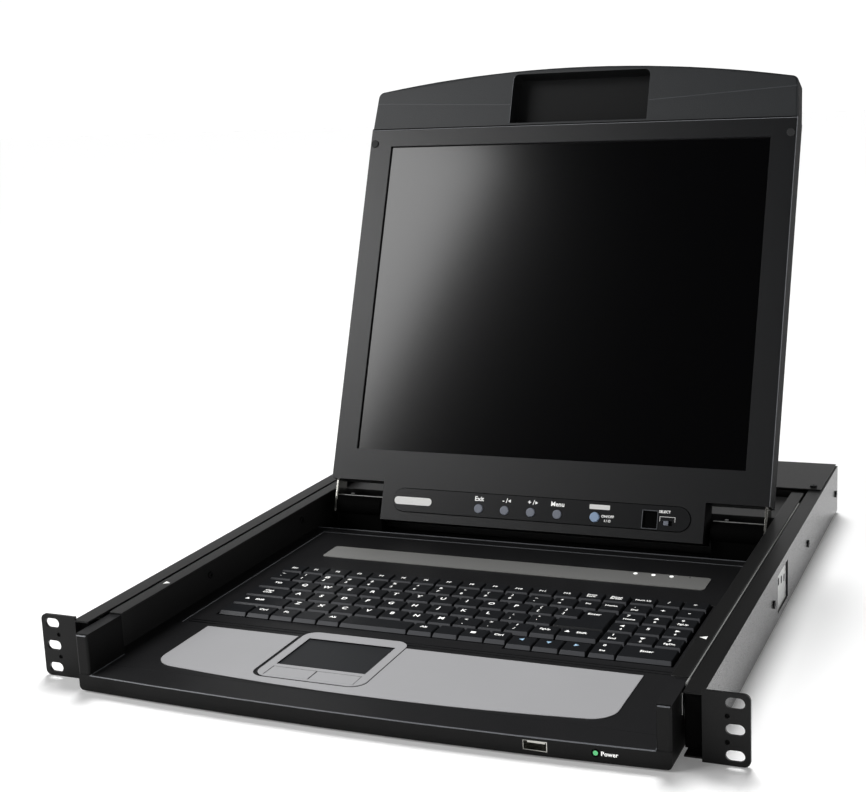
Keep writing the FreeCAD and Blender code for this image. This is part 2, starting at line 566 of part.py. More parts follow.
def touchpad():
    """The frame on the deck, the touch surface sunk in it and the two click buttons in front."""
    blank = pad_blank("pad_frame_blank", "0", "pad_sunk", "deck_top")
    surface_hole = box("pad_hole", (PAD_LEFT, PAD_RIGHT), (f"{PAD_REAR} - pad_depth", PAD_REAR),
                       ("deck_top - 1", "deck_top + 3"))
    click_hole = box("click_hole", (PAD_LEFT, PAD_RIGHT), ("pad_front + click_front", CLICK_REAR),
                     ("deck_top - 1", "deck_top + 3"))
    frame = cut("touchpad_frame", blank, surface_hole, click_hole)
    surface = box("touchpad_surface", (f"{PAD_LEFT} + 0.1", f"{PAD_RIGHT} - 0.1"),
                  (f"{PAD_REAR} - pad_depth + 0.1", f"{PAD_REAR} - 0.1"), ("deck_top", "deck_top + 0.3"))
    clicks = []
    for side, name in SIDES:
        low, high = ((PAD_LEFT, "pad_centre") if side < 0 else ("pad_centre", PAD_RIGHT))
        block = box(f"click_block_{name}", (f"{low} + click_gap", f"{high} - click_gap"),
                    ("pad_front + click_front + click_gap", f"{CLICK_REAR} - click_gap"),
                    ("deck_top - deck_thickness - 1", "deck_top + pad_sunk - 0.1"))
        clicks.append(rounded(f"touchpad_button_{name}", block, "click_gap",
                              lambda middle, way: middle.z > number("deck_top + pad_sunk") - 0.2))
    return [frame, surface] + clicks


def indicator():
    """The trim plate behind the keys with three lamps and a reset hole."""
    side, low = "indicator_half_width", "indicator_front"
    high = "(indicator_front + indicator_depth)"
    block = box("indicator_block", (f"-{side}", side), (low, high), ("deck_top", "deck_top + plate_thickness"))
    blank = rounded("indicator_blank", block, "indicator_corner", lambda middle, way: upright(way))
    lamps, holes = [], []
    for index in range(3):
        centre = f"indicator_lamp_centre + {index} * indicator_lamp_pitch"
        lamps.append(rod(f"indicator_lamp_{index + 1}", "z", "indicator_lamp_diameter / 2",
                         "plate_thickness + 0.3", centre, f"{high} - indicator_lamp_inset", "deck_top"))
        holes.append(rod(f"indicator_hole_{index + 1}", "z", "indicator_lamp_diameter / 2", "3", centre,
                         f"{high} - indicator_lamp_inset", "deck_top - 1"))
    pinhole = rod("pinhole", "z", "pinhole_diameter / 2", "3", "pinhole_centre",
                  f"{high} - indicator_lamp_inset + 1.5", "deck_top - 1")
    return cut("indicator_plate", blank, *holes, pinhole), group("indicator_lamps", *lamps)


KEY_BOTTOM = "(key_top - key_height)"


def key(label, left, right, front, rear):
    """A tapered key cap that stands on its stem."""
    gap = "key_gap / 2"
    cap = doc.addObject("Part::Wedge", label + "_cap")
    width, depth = f"(({right}) - ({left}) - key_gap)", f"(({rear}) - ({front}) - key_gap)"
    limits = {"Xmin": "0", "Ymin": "0", "Zmin": "0", "X2min": "key_side_taper", "Z2min": "key_back_taper",
              "Xmax": width, "Ymax": "key_height", "Zmax": depth, "X2max": f"{width} - key_side_taper",
              "Z2max": f"{depth} - key_front_taper"}
    for name, text in limits.items():
        cap.setExpression(name, bound(text))
    cap.Placement = Placement(Vector(), Rotation(Vector(1, 0, 0), 90))
    put(cap, f"({left}) + {gap}", f"({rear}) - {gap}", KEY_BOTTOM)
    x, y, half = f"(({left}) + ({right})) / 2", f"(({front}) + ({rear})) / 2", "stem_size / 2"
    stem = box(label + "_stem", (f"{x} - {half}", f"{x} + {half}"), (f"{y} - {half}", f"{y} + {half}"),
               (f"{KEY_BOTTOM} - stem_length", KEY_BOTTOM))
    return [cap, stem]


def units_from_left(units):
    return f"{units:.4g} * key_pitch - keys_half_width"


def row_span(row):
    """The front and the rear of a row of keys. The function row is less deep than the others."""
    front = f"keys_front + {row} * key_pitch"
    return front, f"{front} + {'function_depth' if row == 5 else 'key_pitch'}"


def key_row(label, row, widths, start=0.0, drop="0"):
    """Caps side by side from start, in key pitches from the left edge of the keyboard."""
    solids = []
    front, rear = row_span(row)
    for index, width in enumerate(widths, start=1):
        solids += key(f"{label}_{index}", units_from_left(start), units_from_left(start + width),
                      f"{front} - {drop}", f"{rear} - {drop}")
        start += width
    return solids


def number_pad(row, widths=(1, 1, 1), drop="0"):
    """Caps side by side in the three columns at the right edge."""
    solids, left = [], 3
    front, rear = row_span(row)
    for index, width in enumerate(widths, start=1):
        solids += key(f"pad_{row}_{index}", f"keys_half_width - {left} * key_pitch",
                      f"keys_half_width - {left - width} * key_pitch", f"{front} - {drop}", rear)
        left -= width
    return solids


def stem_channel(label, left, right, middle):
    """The slot in the keyboard base that the stems of one row move in."""
    half = "(stem_size / 2 + stem_clearance)"
    return box(label, (left, right), (f"{middle} - {half}", f"{middle} + {half}"),
               (f"{TRAY_FLOOR} - 1", "deck_top"))


def keyboard():
    """Rows of key caps, each row one node of separate caps, and the base with a channel for each row."""
    narrow = (14.8 / 15,) * 15
    rows = {
        "keys_function": key_row("function", 5, narrow) + number_pad(5),
        "keys_number": key_row("number", 4, (1,) * 13 + (0.9,) * 2),
        "keys_upper": key_row("upper", 3, (1.5,) + (1,) * 12),
        "keys_home": key_row("home", 2, (1.75,) + (1,) * 11),
        "keys_lower": key_row("lower", 1, (2.25,) + (1,) * 11 + (1.55,)),
        "keys_bottom": key_row("bottom", 0, (1.2, 1, 1, 1, 0.95))
        + key_row("bottom_right", 0, (1, 1, 1, 0.85), start=7.9),
        "key_space": key_row("space", 0, (2.75,), start=5.15),
        "keys_arrow": key_row("arrow", 0, (1, 1, 1), start=11.8, drop="arrow_drop"),
        "keys_number_pad": number_pad(4) + number_pad(3) + number_pad(2) + number_pad(1)
        + number_pad(0, (1, 2), drop="arrow_drop"),
    }
    upper = key_row("enter_upper", 3, (1.3,), start=13.5)
    lower = key_row("enter_lower", 2, (2.05,), start=12.75)
    joined = box("enter_joint", (f"{units_from_left(13.5)} + key_gap / 2 + key_side_taper",
                                 f"{units_from_left(14.8)} - key_gap / 2 - key_side_taper"),
                 ("keys_front + 2.7 * key_pitch", "keys_front + 3.3 * key_pitch"), (KEY_BOTTOM, "key_top"))
    nodes = [fuse("key_enter", *upper, lower[0], joined)]
    nodes += [fuse(label, *solids) for label, solids in rows.items()]
    reach, rim = "keys_half_width", "stem_size / 2"
    channels = []
    for row in range(6):
        front, rear = row_span(row)
        right = f"{reach} - {rim}" if row else f"{ARROWS_LEFT} - {rim}"
        channels.append(stem_channel(f"stem_channel_{row}", f"{rim} - {reach}", right,
                                     f"({front} + {rear}) / 2"))
    middle = "(keys_front + key_pitch / 2)"
    channels.append(stem_channel("stem_channel_arrow", f"{ARROWS_LEFT} + {rim}",
                                 f"{ARROWS_LEFT} + 3 * key_pitch - {rim}", f"({middle} - arrow_drop)"))
    channels.append(stem_channel("stem_channel_pad", f"{reach} - 3 * key_pitch + {rim}", f"{reach} - {rim}",
                                 f"({middle} - arrow_drop / 2)"))
    plate = box("key_base_plate", (f"-{reach}", reach), ("keys_front - arrow_drop", KEYS_REAR),
                (TRAY_FLOOR, f"{KEY_BOTTOM} - key_travel - stem_clearance"))
    return nodes + [cut("keyboard_base", plate, *channels)]


def drawer_rear_cover():
    top = "rear_cover_top"
    section = [("rear_cover_front", TRAY_FLOOR), ("rear_cover_front", top), ("tray_rear - steel", top),
               ("tray_rear - steel", f"{top} - steel"), ("rear_cover_front + steel", f"{top} - steel"),
               ("rear_cover_front + steel", TRAY_FLOOR)]
    return padded("drawer_rear_cover", "YZ_Plane", section, f"2 * {DECK_SIDE}", f"-{DECK_SIDE}")


def tray_screws():
    """Screw heads on the inside of the tray walls."""
    places = [(start, along, "tray_screw_rise")
              for start in (f"{TRAY_SIDE} - steel - screw_head", f"-({TRAY_SIDE} - steel)")
              for along in ("tray_screw_front", "tray_screw_middle", "tray_screw_rear")]
    return screw_heads("tray_screws", places, "x")


PIVOT_Y = "(screen_foot + pivot_rise * sin(screen_lean * 1 deg) + pivot_depth * cos(screen_lean * 1 deg))"
PIVOT_Z = "(pivot_rise * cos(screen_lean * 1 deg) - pivot_depth * sin(screen_lean * 1 deg))"
NOTCH_INNER = "(screen_half_width - notch_width)"
BARREL_INNER = f"({NOTCH_INNER} + barrel_gap)"
BARREL_OUTER = "(screen_half_width - barrel_inset)"
VIEW_HALF = "(screen_half_width - view_border)"
STRIP_HALF = f"({NOTCH_INNER} - strip_inset)"


def hinge_base(side, name):
    """A bearing block on the tray floor: foot, web and the barrel that the pin turns in."""
    label = f"hinge_base_{name}"
    span = across(side, BARREL_INNER, BARREL_OUTER)
    barrel = rod(label + "_barrel", "x", "barrel_radius", f"{BARREL_OUTER} - {BARREL_INNER}", span[0],
                 PIVOT_Y, PIVOT_Z)
    web = box(label + "_web", span, (f"{PIVOT_Y} - barrel_radius * 0.6", f"{PIVOT_Y} + barrel_radius"),
              (TRAY_FLOOR, PIVOT_Z))
    foot = box(label + "_foot", span, ("deck_rear + deck_gap", "rear_cover_front - deck_gap"),
               (TRAY_FLOOR, f"{TRAY_FLOOR} + 2 * steel"))
    bore = rod(label + "_bore", "x", "pin_radius + pin_clearance", f"{BARREL_OUTER} - {BARREL_INNER} + 2",
               f"{span[0]} - 1", PIVOT_Y, PIVOT_Z)
    return cut(label, fuse(label + "_solid", barrel, web, foot), bore)


# Screen, drawn upright: x across, y back from its front face, z up its face ----------------------

def leaned(label, piece):
    """Leans a piece of the screen back about the line where its face meets the tray."""
    whole = group(label, piece)
    whole.Placement = Placement(Vector(), Rotation(Vector(-1, 0, 0), number("screen_lean")))
    whole.setExpression("Placement.Rotation.Angle", bound("screen_lean * 1 deg"))
    return put(whole, "0", "screen_foot", "0")


def notches(label, grow, depth):
    """The lower corners that the hinges need, from the edge inwards, grown by a margin."""
    return [box(f"{label}_{name}", across(side, f"{NOTCH_INNER} - {grow}", "screen_half_width + 1"), depth,
                ("screen_bottom - 1", f"notch_top + {grow}"))
            for side, name in SIDES]


def hollow(label, depth):
    """The room inside the screen case, clear of its walls and of the walls round the notches."""
    side = "screen_half_width - screen_wall"
    upper = box(label + "_upper", (f"-({side})", side), depth,
                ("notch_top + screen_wall", "screen_top - screen_wall"))
    side = f"{NOTCH_INNER} - screen_wall"
    lower = box(label + "_lower", (f"-({side})", side), depth,
                ("screen_bottom + screen_wall", "notch_top + screen_wall + 1"))
    return [upper, lower]


def arm_slots(label):
    """Slots over the notches that the hinge arms pass through."""
    far = f"{BARREL_OUTER} + arm_thickness + 2 * arm_clearance"
    return [box(f"{label}_{name}", across(side, BARREL_OUTER, far),
                ("pivot_depth - arm_half_width - arm_clearance", "screen_thickness - screen_wall"),
                ("notch_top - 1", "notch_top + screen_wall + 1"))
            for side, name in SIDES]


def case_block(label, depth):
    return box(label, ("-screen_half_width", "screen_half_width"), depth, ("screen_bottom", "screen_top"))


def button_centres():
    centres = [(f"menu_button_{index + 1}", f"(button_start + {index} * button_pitch)", "button_diameter")
               for index in range(4)]
    return centres + [("power_button", "power_centre", "power_diameter")]


def strip_openings():
    """Holes through the control strip for the buttons, the port and the slider."""
    tools = [rod(f"{name}_hole", "y", f"{size} / 2 + button_gap", "screen_wall + 4", centre, "-2",
                 "button_rise") for name, centre, size in button_centres()]
    tools.append(box("port_hole", ("port_centre - port_width / 2", "port_centre + port_width / 2"),
                     ("-2", "screen_wall + 2"), ("port_rise - port_height / 2", "port_rise + port_height / 2")))
    tools.append(box("mode_hole", ("mode_centre - mode_width / 2", "mode_centre + mode_width / 2"),
                     ("-2", "screen_wall + 2"), ("mode_rise - mode_height / 2", "mode_rise + mode_height / 2")))
    return fuse("strip_openings", *tools)


def strip_seat(label, grow, depth):
    """The part of the control strip that sits in the bezel, or the opening it sits in."""
    side = f"{STRIP_HALF} - (strip_top - strip_bottom) / 2 + {grow}"
    return box(label, (f"-({side})", side), depth,
               (f"strip_bottom + strip_lip - {grow}", f"strip_top - strip_lip + {grow}"))


def screen_bezel():
    """The front half of the case, with the window and the opening for the control strip."""
    depth = ("0", "bezel_depth")
    block = rounded("bezel_block", case_block("bezel_blank", depth), "screen_wall / 2",
                    lambda middle, way: middle.y < 0.1 and abs(way.x) < 0.01)
    window = box("window", (f"-{VIEW_HALF}", VIEW_HALF), ("-1", "screen_wall + 1"),
                 ("view_bottom", "view_top"))
    seat = strip_seat("bezel_seat", "strip_clearance", ("-1", "screen_wall + 1"))
    return cut("screen_bezel", block, window, seat, *notches("bezel_notch", "0", ("-1", "bezel_depth + 1")),
               *arm_slots("bezel_arm_slot"), *hollow("bezel_room", ("screen_wall", "bezel_depth + 1")))


def screen_rear_cover():
    """The rear half of the case, rounded where its back meets its sides."""
    depth = ("bezel_depth", "screen_thickness")
    block = rounded("back_block", case_block("back_blank", depth), "screen_corner",
                    lambda middle, way: middle.y > number("screen_thickness") - 0.1)
    vents = [box(f"back_vent_{index + 6}", (f"{index} * vent_pitch - vent_width / 2",
                                            f"{index} * vent_pitch + vent_width / 2"),
                 ("screen_thickness - screen_wall - 1", "screen_thickness + 1"),
                 ("screen_top - vent_top - vent_length", "screen_top - vent_top")) for index in range(-5, 6)]
    return cut("screen_rear_cover", block, *vents,
               *notches("back_notch", "0", ("bezel_depth - 1", "screen_thickness + 1")),
               *arm_slots("back_arm_slot"),
               *hollow("back_room", ("bezel_depth - 1", "screen_thickness - screen_wall")))


def display_panel():
    grow = "panel_margin"
    return box("display_block", (f"-{VIEW_HALF} - {grow}", f"{VIEW_HALF} + {grow}"),
               ("screen_wall", "screen_wall + panel_thickness"),
               (f"view_bottom - {grow}", f"view_top + {grow}"))


def screen_handle():
    """The moulded grip along the top edge: an arched bar with a finger recess."""
    side = "screen_half_width"
    corners = [(f"-{side}", "screen_top"), (side, "screen_top"), (f"{side} - grip_taper", "grip_side_top"),
               (f"grip_taper - {side}", "grip_side_top")]
    bar = padded("grip_blank", "XZ_Plane", corners, "grip_thickness", "grip_front", bow=(2, "grip_top"))
    turned = rounded("grip_turned", bar, "grip_corner",
                     lambda middle, way: abs(way.y) > 0.99 and middle.z > number("screen_top") + 1)
    soft = rounded("grip_soft", turned, "screen_wall",
                   lambda middle, way: middle.z > number("grip_side_top") - number("grip_corner")
                   and middle.y < number("grip_front") + 0.1)
    low = "recess_centre - recess_half_width"
    recess = box("grip_recess_block", (low, f"{low} + 2 * recess_half_width"),
                 ("grip_front - 1", "grip_front + grip_thickness - recess_floor"),
                 ("screen_top + screen_wall", "recess_top"))
    pocket = rounded("grip_recess", recess, "recess_corner",
                     lambda middle, way: abs(way.y) > 0.99 and middle.z > number("recess_top") - 1)
    return cut("grip_solid", soft, pocket)


def control_strip():
    """The raised pill-shaped strip that carries the buttons, seated in the bezel."""
    radius = "(strip_top - strip_bottom) / 2"
    centre = "(strip_top + strip_bottom) / 2"
    middle = box("strip_middle", (f"{radius} - {STRIP_HALF}", f"{STRIP_HALF} - {radius}"),
                 ("-strip_thickness", "0"), ("strip_bottom", "strip_top"))
    ends = [rod(f"strip_end_{index}", "y", radius, "strip_thickness",
                at(side, f"{STRIP_HALF} - {radius}"), "-strip_thickness", centre)
            for index, side in enumerate((-1, 1), start=1)]
    plug = strip_seat("strip_plug", "0", ("-strip_thickness / 2", "screen_wall"))
    return cut("strip_solid", fuse("strip_blank", middle, plug, *ends), strip_openings())


def hinge_arm(side, name):
    """A plated steel arm from the pin up into the case, with a tab on the inside of its back."""
    label = f"hinge_arm_{name}"
    near = f"{BARREL_OUTER} + arm_clearance"
    back = "screen_thickness - screen_wall"
    plate = box(label + "_plate", across(side, near, f"{near} + arm_thickness"),
                ("pivot_depth - arm_half_width", back), ("pivot_rise - arm_half_width", "arm_top"))
    tab = box(label + "_tab", across(side, f"{near} - arm_tab", f"{near} + arm_thickness"),
              (f"{back} - arm_thickness", back), ("notch_top + screen_wall + 1", "arm_top"))
    bore = rod(label + "_bore", "x", "pin_radius", "3 * arm_thickness",
               across(side, f"{near} - arm_thickness", f"{near} + 2 * arm_thickness")[0],
               "pivot_depth", "pivot_rise")
    return cut(label + "_solid", fuse(label + "_folded", plate, tab), bore)


def hinge_pins():
    near, far = f"{BARREL_INNER} + pin_recess", f"{BARREL_OUTER} + arm_clearance + arm_thickness"
    return group("hinge_pin_pair", *[rod(f"hinge_pin_{name}", "x", "pin_radius", f"{far} - {near}",
                                         across(side, near, far)[0], "pivot_depth", "pivot_rise")
                                     for side, name in SIDES])


def bumpers():
    return group("bumper_pair", *[rod(f"bumper_{name}", "y", "bumper_diameter / 2", "bumper_height",
                                      at(side, "screen_half_width - bumper_inset"), "-bumper_height",
                                      "screen_top - bumper_drop") for side, name in SIDES])


def service_port():
    low, high = "port_centre - port_width / 2", "port_centre + port_width / 2"
    drop, rise = "port_rise - port_height / 2", "port_rise + port_height / 2"
    shell = box("port_shell", (low, high), ("-strip_thickness", "port_depth"), (drop, rise))
    mouth = box("port_mouth", (f"{low} + port_wall", f"{high} - port_wall"),
                ("-strip_thickness - 1", "port_depth - 1"), (f"{drop} + port_wall", f"{rise} - port_wall"))
    return cut("port_solid", shell, mouth)


def mode_switch():
    half = "mode_width / 4"
    low = "mode_centre - mode_travel / 2"
    return box("mode_block", (f"{low} - {half}", f"{low} + {half}"),
               ("-strip_thickness - 0.6", "screen_wall + 1"),
               ("mode_rise - mode_height / 2 + 0.2", "mode_rise + mode_height / 2 - 0.2"))


def control_board():
    """The board behind the buttons, on two ribs that reach back to the case."""
    front = "button_length - strip_thickness - button_proud + button_travel + stem_clearance"
    low, high = "button_start - 12", "port_centre - port_width / 2 - 1"
    board = box("control_plate", (low, high), (front, f"{front} + board_thickness"),
                ("strip_bottom", "strip_top"))
    ribs = [box(f"control_rib_{name}", (f"{x} - rib_half_width", f"{x} + rib_half_width"),
                (f"{front} + board_thickness", "screen_thickness - screen_wall"),
                ("strip_bottom + rib_inset", "strip_top - rib_inset"))
            for name, x in (("left", f"{low} + 2 * rib_inset"), ("right", f"{high} - 3 * rib_inset"))]
    return fuse("control_solid", board, *ribs)


def screen_buttons():
    return [(name, rod(name + "_cap", "y", f"{size} / 2", "button_length", centre,
                       "-strip_thickness - button_proud", "button_rise"))
            for name, centre, size in button_centres()]


# Assembly --------------------------------------------------------------------------------------

def build():
    """Every sub-part as a document object whose Label is its name."""
    nodes = []
    for side, name in SIDES:
        nodes.append(side_rail(side, name))
        nodes += slides(side, name)
        nodes.append(hinge_base(side, name))
    nodes += [rear_housing(), rear_housing_cover(), frame_screws(), power_inlet(), rear_ports(), switch_board()]
    nodes += rocker()
    nodes += [drawer_tray(), front_panel(), keyboard_deck(), palm_rest_plate(), drawer_rear_cover(),
              usb_socket(), power_lamp(), tray_screws()]
    nodes += touchpad()
    nodes += indicator()
    nodes += keyboard()
    screen = [("screen_bezel", screen_bezel()), ("screen_rear_cover", screen_rear_cover()),
              ("display_panel", display_panel()), ("screen_handle", screen_handle()),
              ("control_strip", control_strip()), ("hinge_pins", hinge_pins()),
              ("screen_bumpers", bumpers()), ("service_port", service_port()),
              ("mode_switch", mode_switch()), ("control_board", control_board())]
    screen += [(f"hinge_arm_{name}", hinge_arm(side, name)) for side, name in SIDES]
    screen += screen_buttons()
    for label, piece in screen:
        if piece.Label == label:
            piece.Label = label + "_upright"
        nodes.append(leaned(label, piece))
        nodes[-1].Label = label
    return nodes


nodes = build()
doc.recompute()
failed = [item.Label for item in doc.Objects if {"Invalid", "Error"} & set(item.State)]
failed += [node.Label for node in nodes if node.Shape.isNull() or not node.Shape.isValid()]
if failed:
    raise RuntimeError(f"these pieces failed: {failed}")
os.makedirs("parts", exist_ok=True)
for node in nodes:
    node.Shape.exportStep(f"parts/{node.Label}.step")
print(len(nodes), "nodes")
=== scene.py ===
"""The looks of the rackmount console drawer: finishes, key caps with their legends, moulded edges,
labels, screws and lamps, round the fixed frame. Metres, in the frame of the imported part."""

import bmesh
import bpy
import math
from mathutils import Matrix, Vector


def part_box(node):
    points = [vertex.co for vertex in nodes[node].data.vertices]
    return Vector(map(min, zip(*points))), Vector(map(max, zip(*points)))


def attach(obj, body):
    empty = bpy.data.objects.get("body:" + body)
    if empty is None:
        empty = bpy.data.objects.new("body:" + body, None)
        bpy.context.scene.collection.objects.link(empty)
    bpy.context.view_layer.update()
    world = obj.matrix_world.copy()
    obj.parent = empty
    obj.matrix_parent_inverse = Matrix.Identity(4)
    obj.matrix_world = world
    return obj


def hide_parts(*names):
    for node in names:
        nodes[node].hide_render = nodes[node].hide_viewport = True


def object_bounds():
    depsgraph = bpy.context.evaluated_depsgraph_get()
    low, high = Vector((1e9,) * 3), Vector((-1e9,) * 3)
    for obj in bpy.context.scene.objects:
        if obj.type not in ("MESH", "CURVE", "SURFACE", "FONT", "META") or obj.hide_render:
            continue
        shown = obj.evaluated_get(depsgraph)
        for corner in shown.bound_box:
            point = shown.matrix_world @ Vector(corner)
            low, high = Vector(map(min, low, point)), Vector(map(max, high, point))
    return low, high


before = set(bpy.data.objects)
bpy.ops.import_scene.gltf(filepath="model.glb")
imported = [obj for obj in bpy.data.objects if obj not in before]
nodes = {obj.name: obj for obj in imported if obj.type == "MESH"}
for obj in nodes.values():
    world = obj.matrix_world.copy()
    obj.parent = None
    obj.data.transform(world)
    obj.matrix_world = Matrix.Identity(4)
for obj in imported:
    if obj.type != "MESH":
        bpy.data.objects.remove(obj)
cad_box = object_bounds()
MM = 0.001

# Camera and soft boxes -------------------------------------------------------------------------

CAMERA_PLACE = Vector((0.39738, -0.79042, 0.36502))
CAMERA_YAW, CAMERA_PITCH, CAMERA_ROLL = math.radians(23.31), math.radians(11.79), math.radians(-2.60)
LENS, SENSOR = 62.71, 36.0


def place_camera():
    """A camera in front, to the right and above the part, slightly rolled."""
    forward = Vector((-math.sin(CAMERA_YAW) * math.cos(CAMERA_PITCH),
                      math.cos(CAMERA_YAW) * math.cos(CAMERA_PITCH), -math.sin(CAMERA_PITCH)))
    right = forward.cross(Vector((0, 0, 1))).normalized()
    up = right.cross(forward)
    rolled_right = math.cos(CAMERA_ROLL) * right + math.sin(CAMERA_ROLL) * up
    rolled_up = math.cos(CAMERA_ROLL) * up - math.sin(CAMERA_ROLL) * right
    camera = bpy.data.objects.new("camera", bpy.data.cameras.new("camera"))
    camera.data.lens, camera.data.sensor_width = LENS, SENSOR
    turn = Matrix((rolled_right, rolled_up, -forward)).transposed().to_4x4()
    camera.matrix_world = Matrix.Translation(CAMERA_PLACE) @ turn
    bpy.context.scene.collection.objects.link(camera)
    bpy.context.scene.camera = camera


def soft_box(name, place, target, size, power):
    """A rectangular white studio light turned to face a point."""
    light = bpy.data.lights.new(name, "AREA")
    light.shape, light.size, light.size_y = "RECTANGLE", size[0], size[1]
    light.energy = power
    lamp = bpy.data.objects.new(name, light)
    lamp.location = place
    lamp.rotation_euler = (Vector(target) - Vector(place)).to_track_quat("-Z", "Y").to_euler()
    bpy.context.scene.collection.objects.link(lamp)


# Materials ---------------------------------------------------------------------------------------

CLOUD_SIZE, GRAIN_DEPTH = 0.045, 0.0004


def paint(code):
    """An sRGB hex colour as linear values."""
    parts = [int(code[i:i + 2], 16) / 255 for i in (1, 3, 5)]
    return [p / 12.92 if p <= 0.04045 else ((p + 0.055) / 1.055) ** 2.4 for p in parts] + [1.0]


def add(tree, kind, links=(), **settings):
    """Adds a node. Settings are its own values or, if it has none so named, its inputs."""
    made = tree.nodes.new(kind)
    for name, value in settings.items():
        if hasattr(made, name):
            setattr(made, name, value)
        else:
            made.inputs[name.replace("_", " ")].default_value = value
    for source, target in links:
        tree.links.new(source, made.inputs[target])
    return made


def finish_of(name, colour, roughness, metallic=0.0, grain_mm=0.6, relief=0.1, mottle=0.0,
              rough_spread=0.0, specular=0.5, glow=0.0):
    """A surface with a grain of a real size, a slight unevenness of tone and of gloss."""
    made = bpy.data.materials.new(name)
    made.use_nodes = True
    tree = made.node_tree
    surface = tree.nodes["Principled BSDF"]
    surface.inputs["Base Color"].default_value = paint(colour)
    surface.inputs["Roughness"].default_value = roughness
    surface.inputs["Metallic"].default_value = metallic
    surface.inputs["Specular IOR Level"].default_value = specular
    if glow:
        surface.inputs["Emission Color"].default_value = paint(colour)
        surface.inputs["Emission Strength"].default_value = glow
    where = add(tree, "ShaderNodeTexCoord").outputs["Object"]
    if mottle:
        cloud = add(tree, "ShaderNodeTexNoise", [(where, "Vector")], Scale=1 / CLOUD_SIZE, Detail=4.0)
        base = paint(colour)
        tones = add(tree, "ShaderNodeMix", [(cloud.outputs["Fac"], "Factor")], data_type="RGBA")
        tones.inputs["A"].default_value = [v * (1 - mottle) for v in base[:3]] + [1]
        tones.inputs["B"].default_value = [min(1, v * (1 + mottle)) for v in base[:3]] + [1]
        tree.links.new(tones.outputs["Result"], surface.inputs["Base Color"])
    grain = add(tree, "ShaderNodeTexNoise", [(where, "Vector")], Scale=1 / (grain_mm * MM), Detail=2.0)
    bump = add(tree, "ShaderNodeBump", [(grain.outputs["Fac"], "Height")], Strength=relief,
               Distance=GRAIN_DEPTH)
    tree.links.new(bump.outputs["Normal"], surface.inputs["Normal"])
    if rough_spread:
        spread = add(tree, "ShaderNodeMapRange", [(grain.outputs["Fac"], "Value")])
        spread.inputs["To Min"].default_value = roughness - rough_spread
        spread.inputs["To Max"].default_value = roughness + rough_spread
        tree.links.new(spread.outputs["Result"], surface.inputs["Roughness"])
    return made


# Powder coat on folded steel: a flat black with a fine pebble that scatters the light.
POWDER_COAT = finish_of("powder_coated_steel", "#1c1c1c", 0.42, grain_mm=0.9, relief=0.12, mottle=0.1,
                        rough_spread=0.06)
# The same coat on the rails' outer sides: glossier, with a paler base that paints the sheen of the bright
# floor on them.
RAIL_SIDE_SHEEN_COAT = finish_of("rail_side_painted_sheen_coat", "#303031", 0.27, grain_mm=0.9, relief=0.1, mottle=0.1,
                      rough_spread=0.05, specular=0.9)
# The front faces of the rails and their ears: a darker, duller coat, painted shade that keeps them dark
# against the light of the floor and the key.
EAR_FACE_SHADE_COAT = finish_of("front_face_painted_shade_coat", "#0f0f0f", 0.5, grain_mm=0.9, relief=0.14, mottle=0.1,
                     rough_spread=0.06, specular=0.2)
# Spark-textured ABS: the moulding's fine matte grain.
CASE_ABS = finish_of("textured_abs_black", "#101113", 0.35, grain_mm=0.7, relief=0.2, mottle=0.06,
                     rough_spread=0.06, specular=0.45)
# The deck's ABS is greyer. On the front moulding it paints the top faces paler than the front ones: painted
# light.
DECK_AND_LIT_TOP_ABS = finish_of("grey_abs_lit_tops", "#1f1f20", 0.45, grain_mm=0.7, relief=0.2, mottle=0.12,
                     rough_spread=0.06, specular=0.4)
# The front moulding is darker and duller than its top: painted shade that keeps its face dark above the
# bright floor.
FRONT_SHADE_ABS = finish_of("front_abs_painted_shade", "#0b0b0b", 0.5, grain_mm=0.7, relief=0.2, mottle=0.06,
                      rough_spread=0.05, specular=0.16)
# The control strip is smoother, so it shows against the case.
STRIP_ABS = finish_of("satin_abs_black", "#141517", 0.3, grain_mm=0.5, relief=0.08, rough_spread=0.04,
                      specular=0.4)
# The grip's ABS is a shade lighter and coarser.
GRIP_ABS = finish_of("textured_abs_grey", "#26282a", 0.48, grain_mm=0.8, relief=0.3, mottle=0.05,
                     rough_spread=0.06, specular=0.45)
# The ridge along each crease of the grip is paler again: a painted highlight along the crease.
GRIP_CREASE_HIGHLIGHT_ABS = finish_of("crease_painted_highlight_abs", "#3a3c3f", 0.4, grain_mm=0.8, relief=0.15, mottle=0.05,
                           rough_spread=0.05)
# The case's sides in their own finish: duller against the bright horizon, with a paler base than the faces
# that paints light on the sides.
SIDE_LIGHT_ABS = finish_of("side_abs_painted_light", "#1d1d1e", 0.75, grain_mm=0.7, relief=0.2, mottle=0.06,
                     rough_spread=0.05, specular=0.12)
# Inside the grip's recess the same moulding is painted black: painted shade in the recess.
RECESS_SHADE_ABS = finish_of("recess_painted_shade_abs", "#08090a", 0.6, grain_mm=0.8, relief=0.2, rough_spread=0.06,
                       specular=0.25)
# Key caps: smooth ABS with a soft, even shine on the tops.
KEY_ABS = finish_of("key_abs", "#1c1d1f", 0.4, grain_mm=0.5, relief=0.06, mottle=0.05,
                    rough_spread=0.05, specular=0.4)
# The caps' front slopes are paler and a little smoother: a painted sheen where they face the light.
KEY_SLOPE_SHEEN_ABS = finish_of("key_slope_painted_sheen_abs", "#4c4d50", 0.36, grain_mm=0.5, relief=0.05, mottle=0.08,
                          rough_spread=0.04)
# Satin silver paint with fine metal flake, on the palm rest and the touchpad frame.
SILVER_PAINT = finish_of("satin_silver_paint", "#aeaeb0", 0.5, metallic=0.2, grain_mm=0.4, relief=0.08,
                         mottle=0.03, rough_spread=0.06)
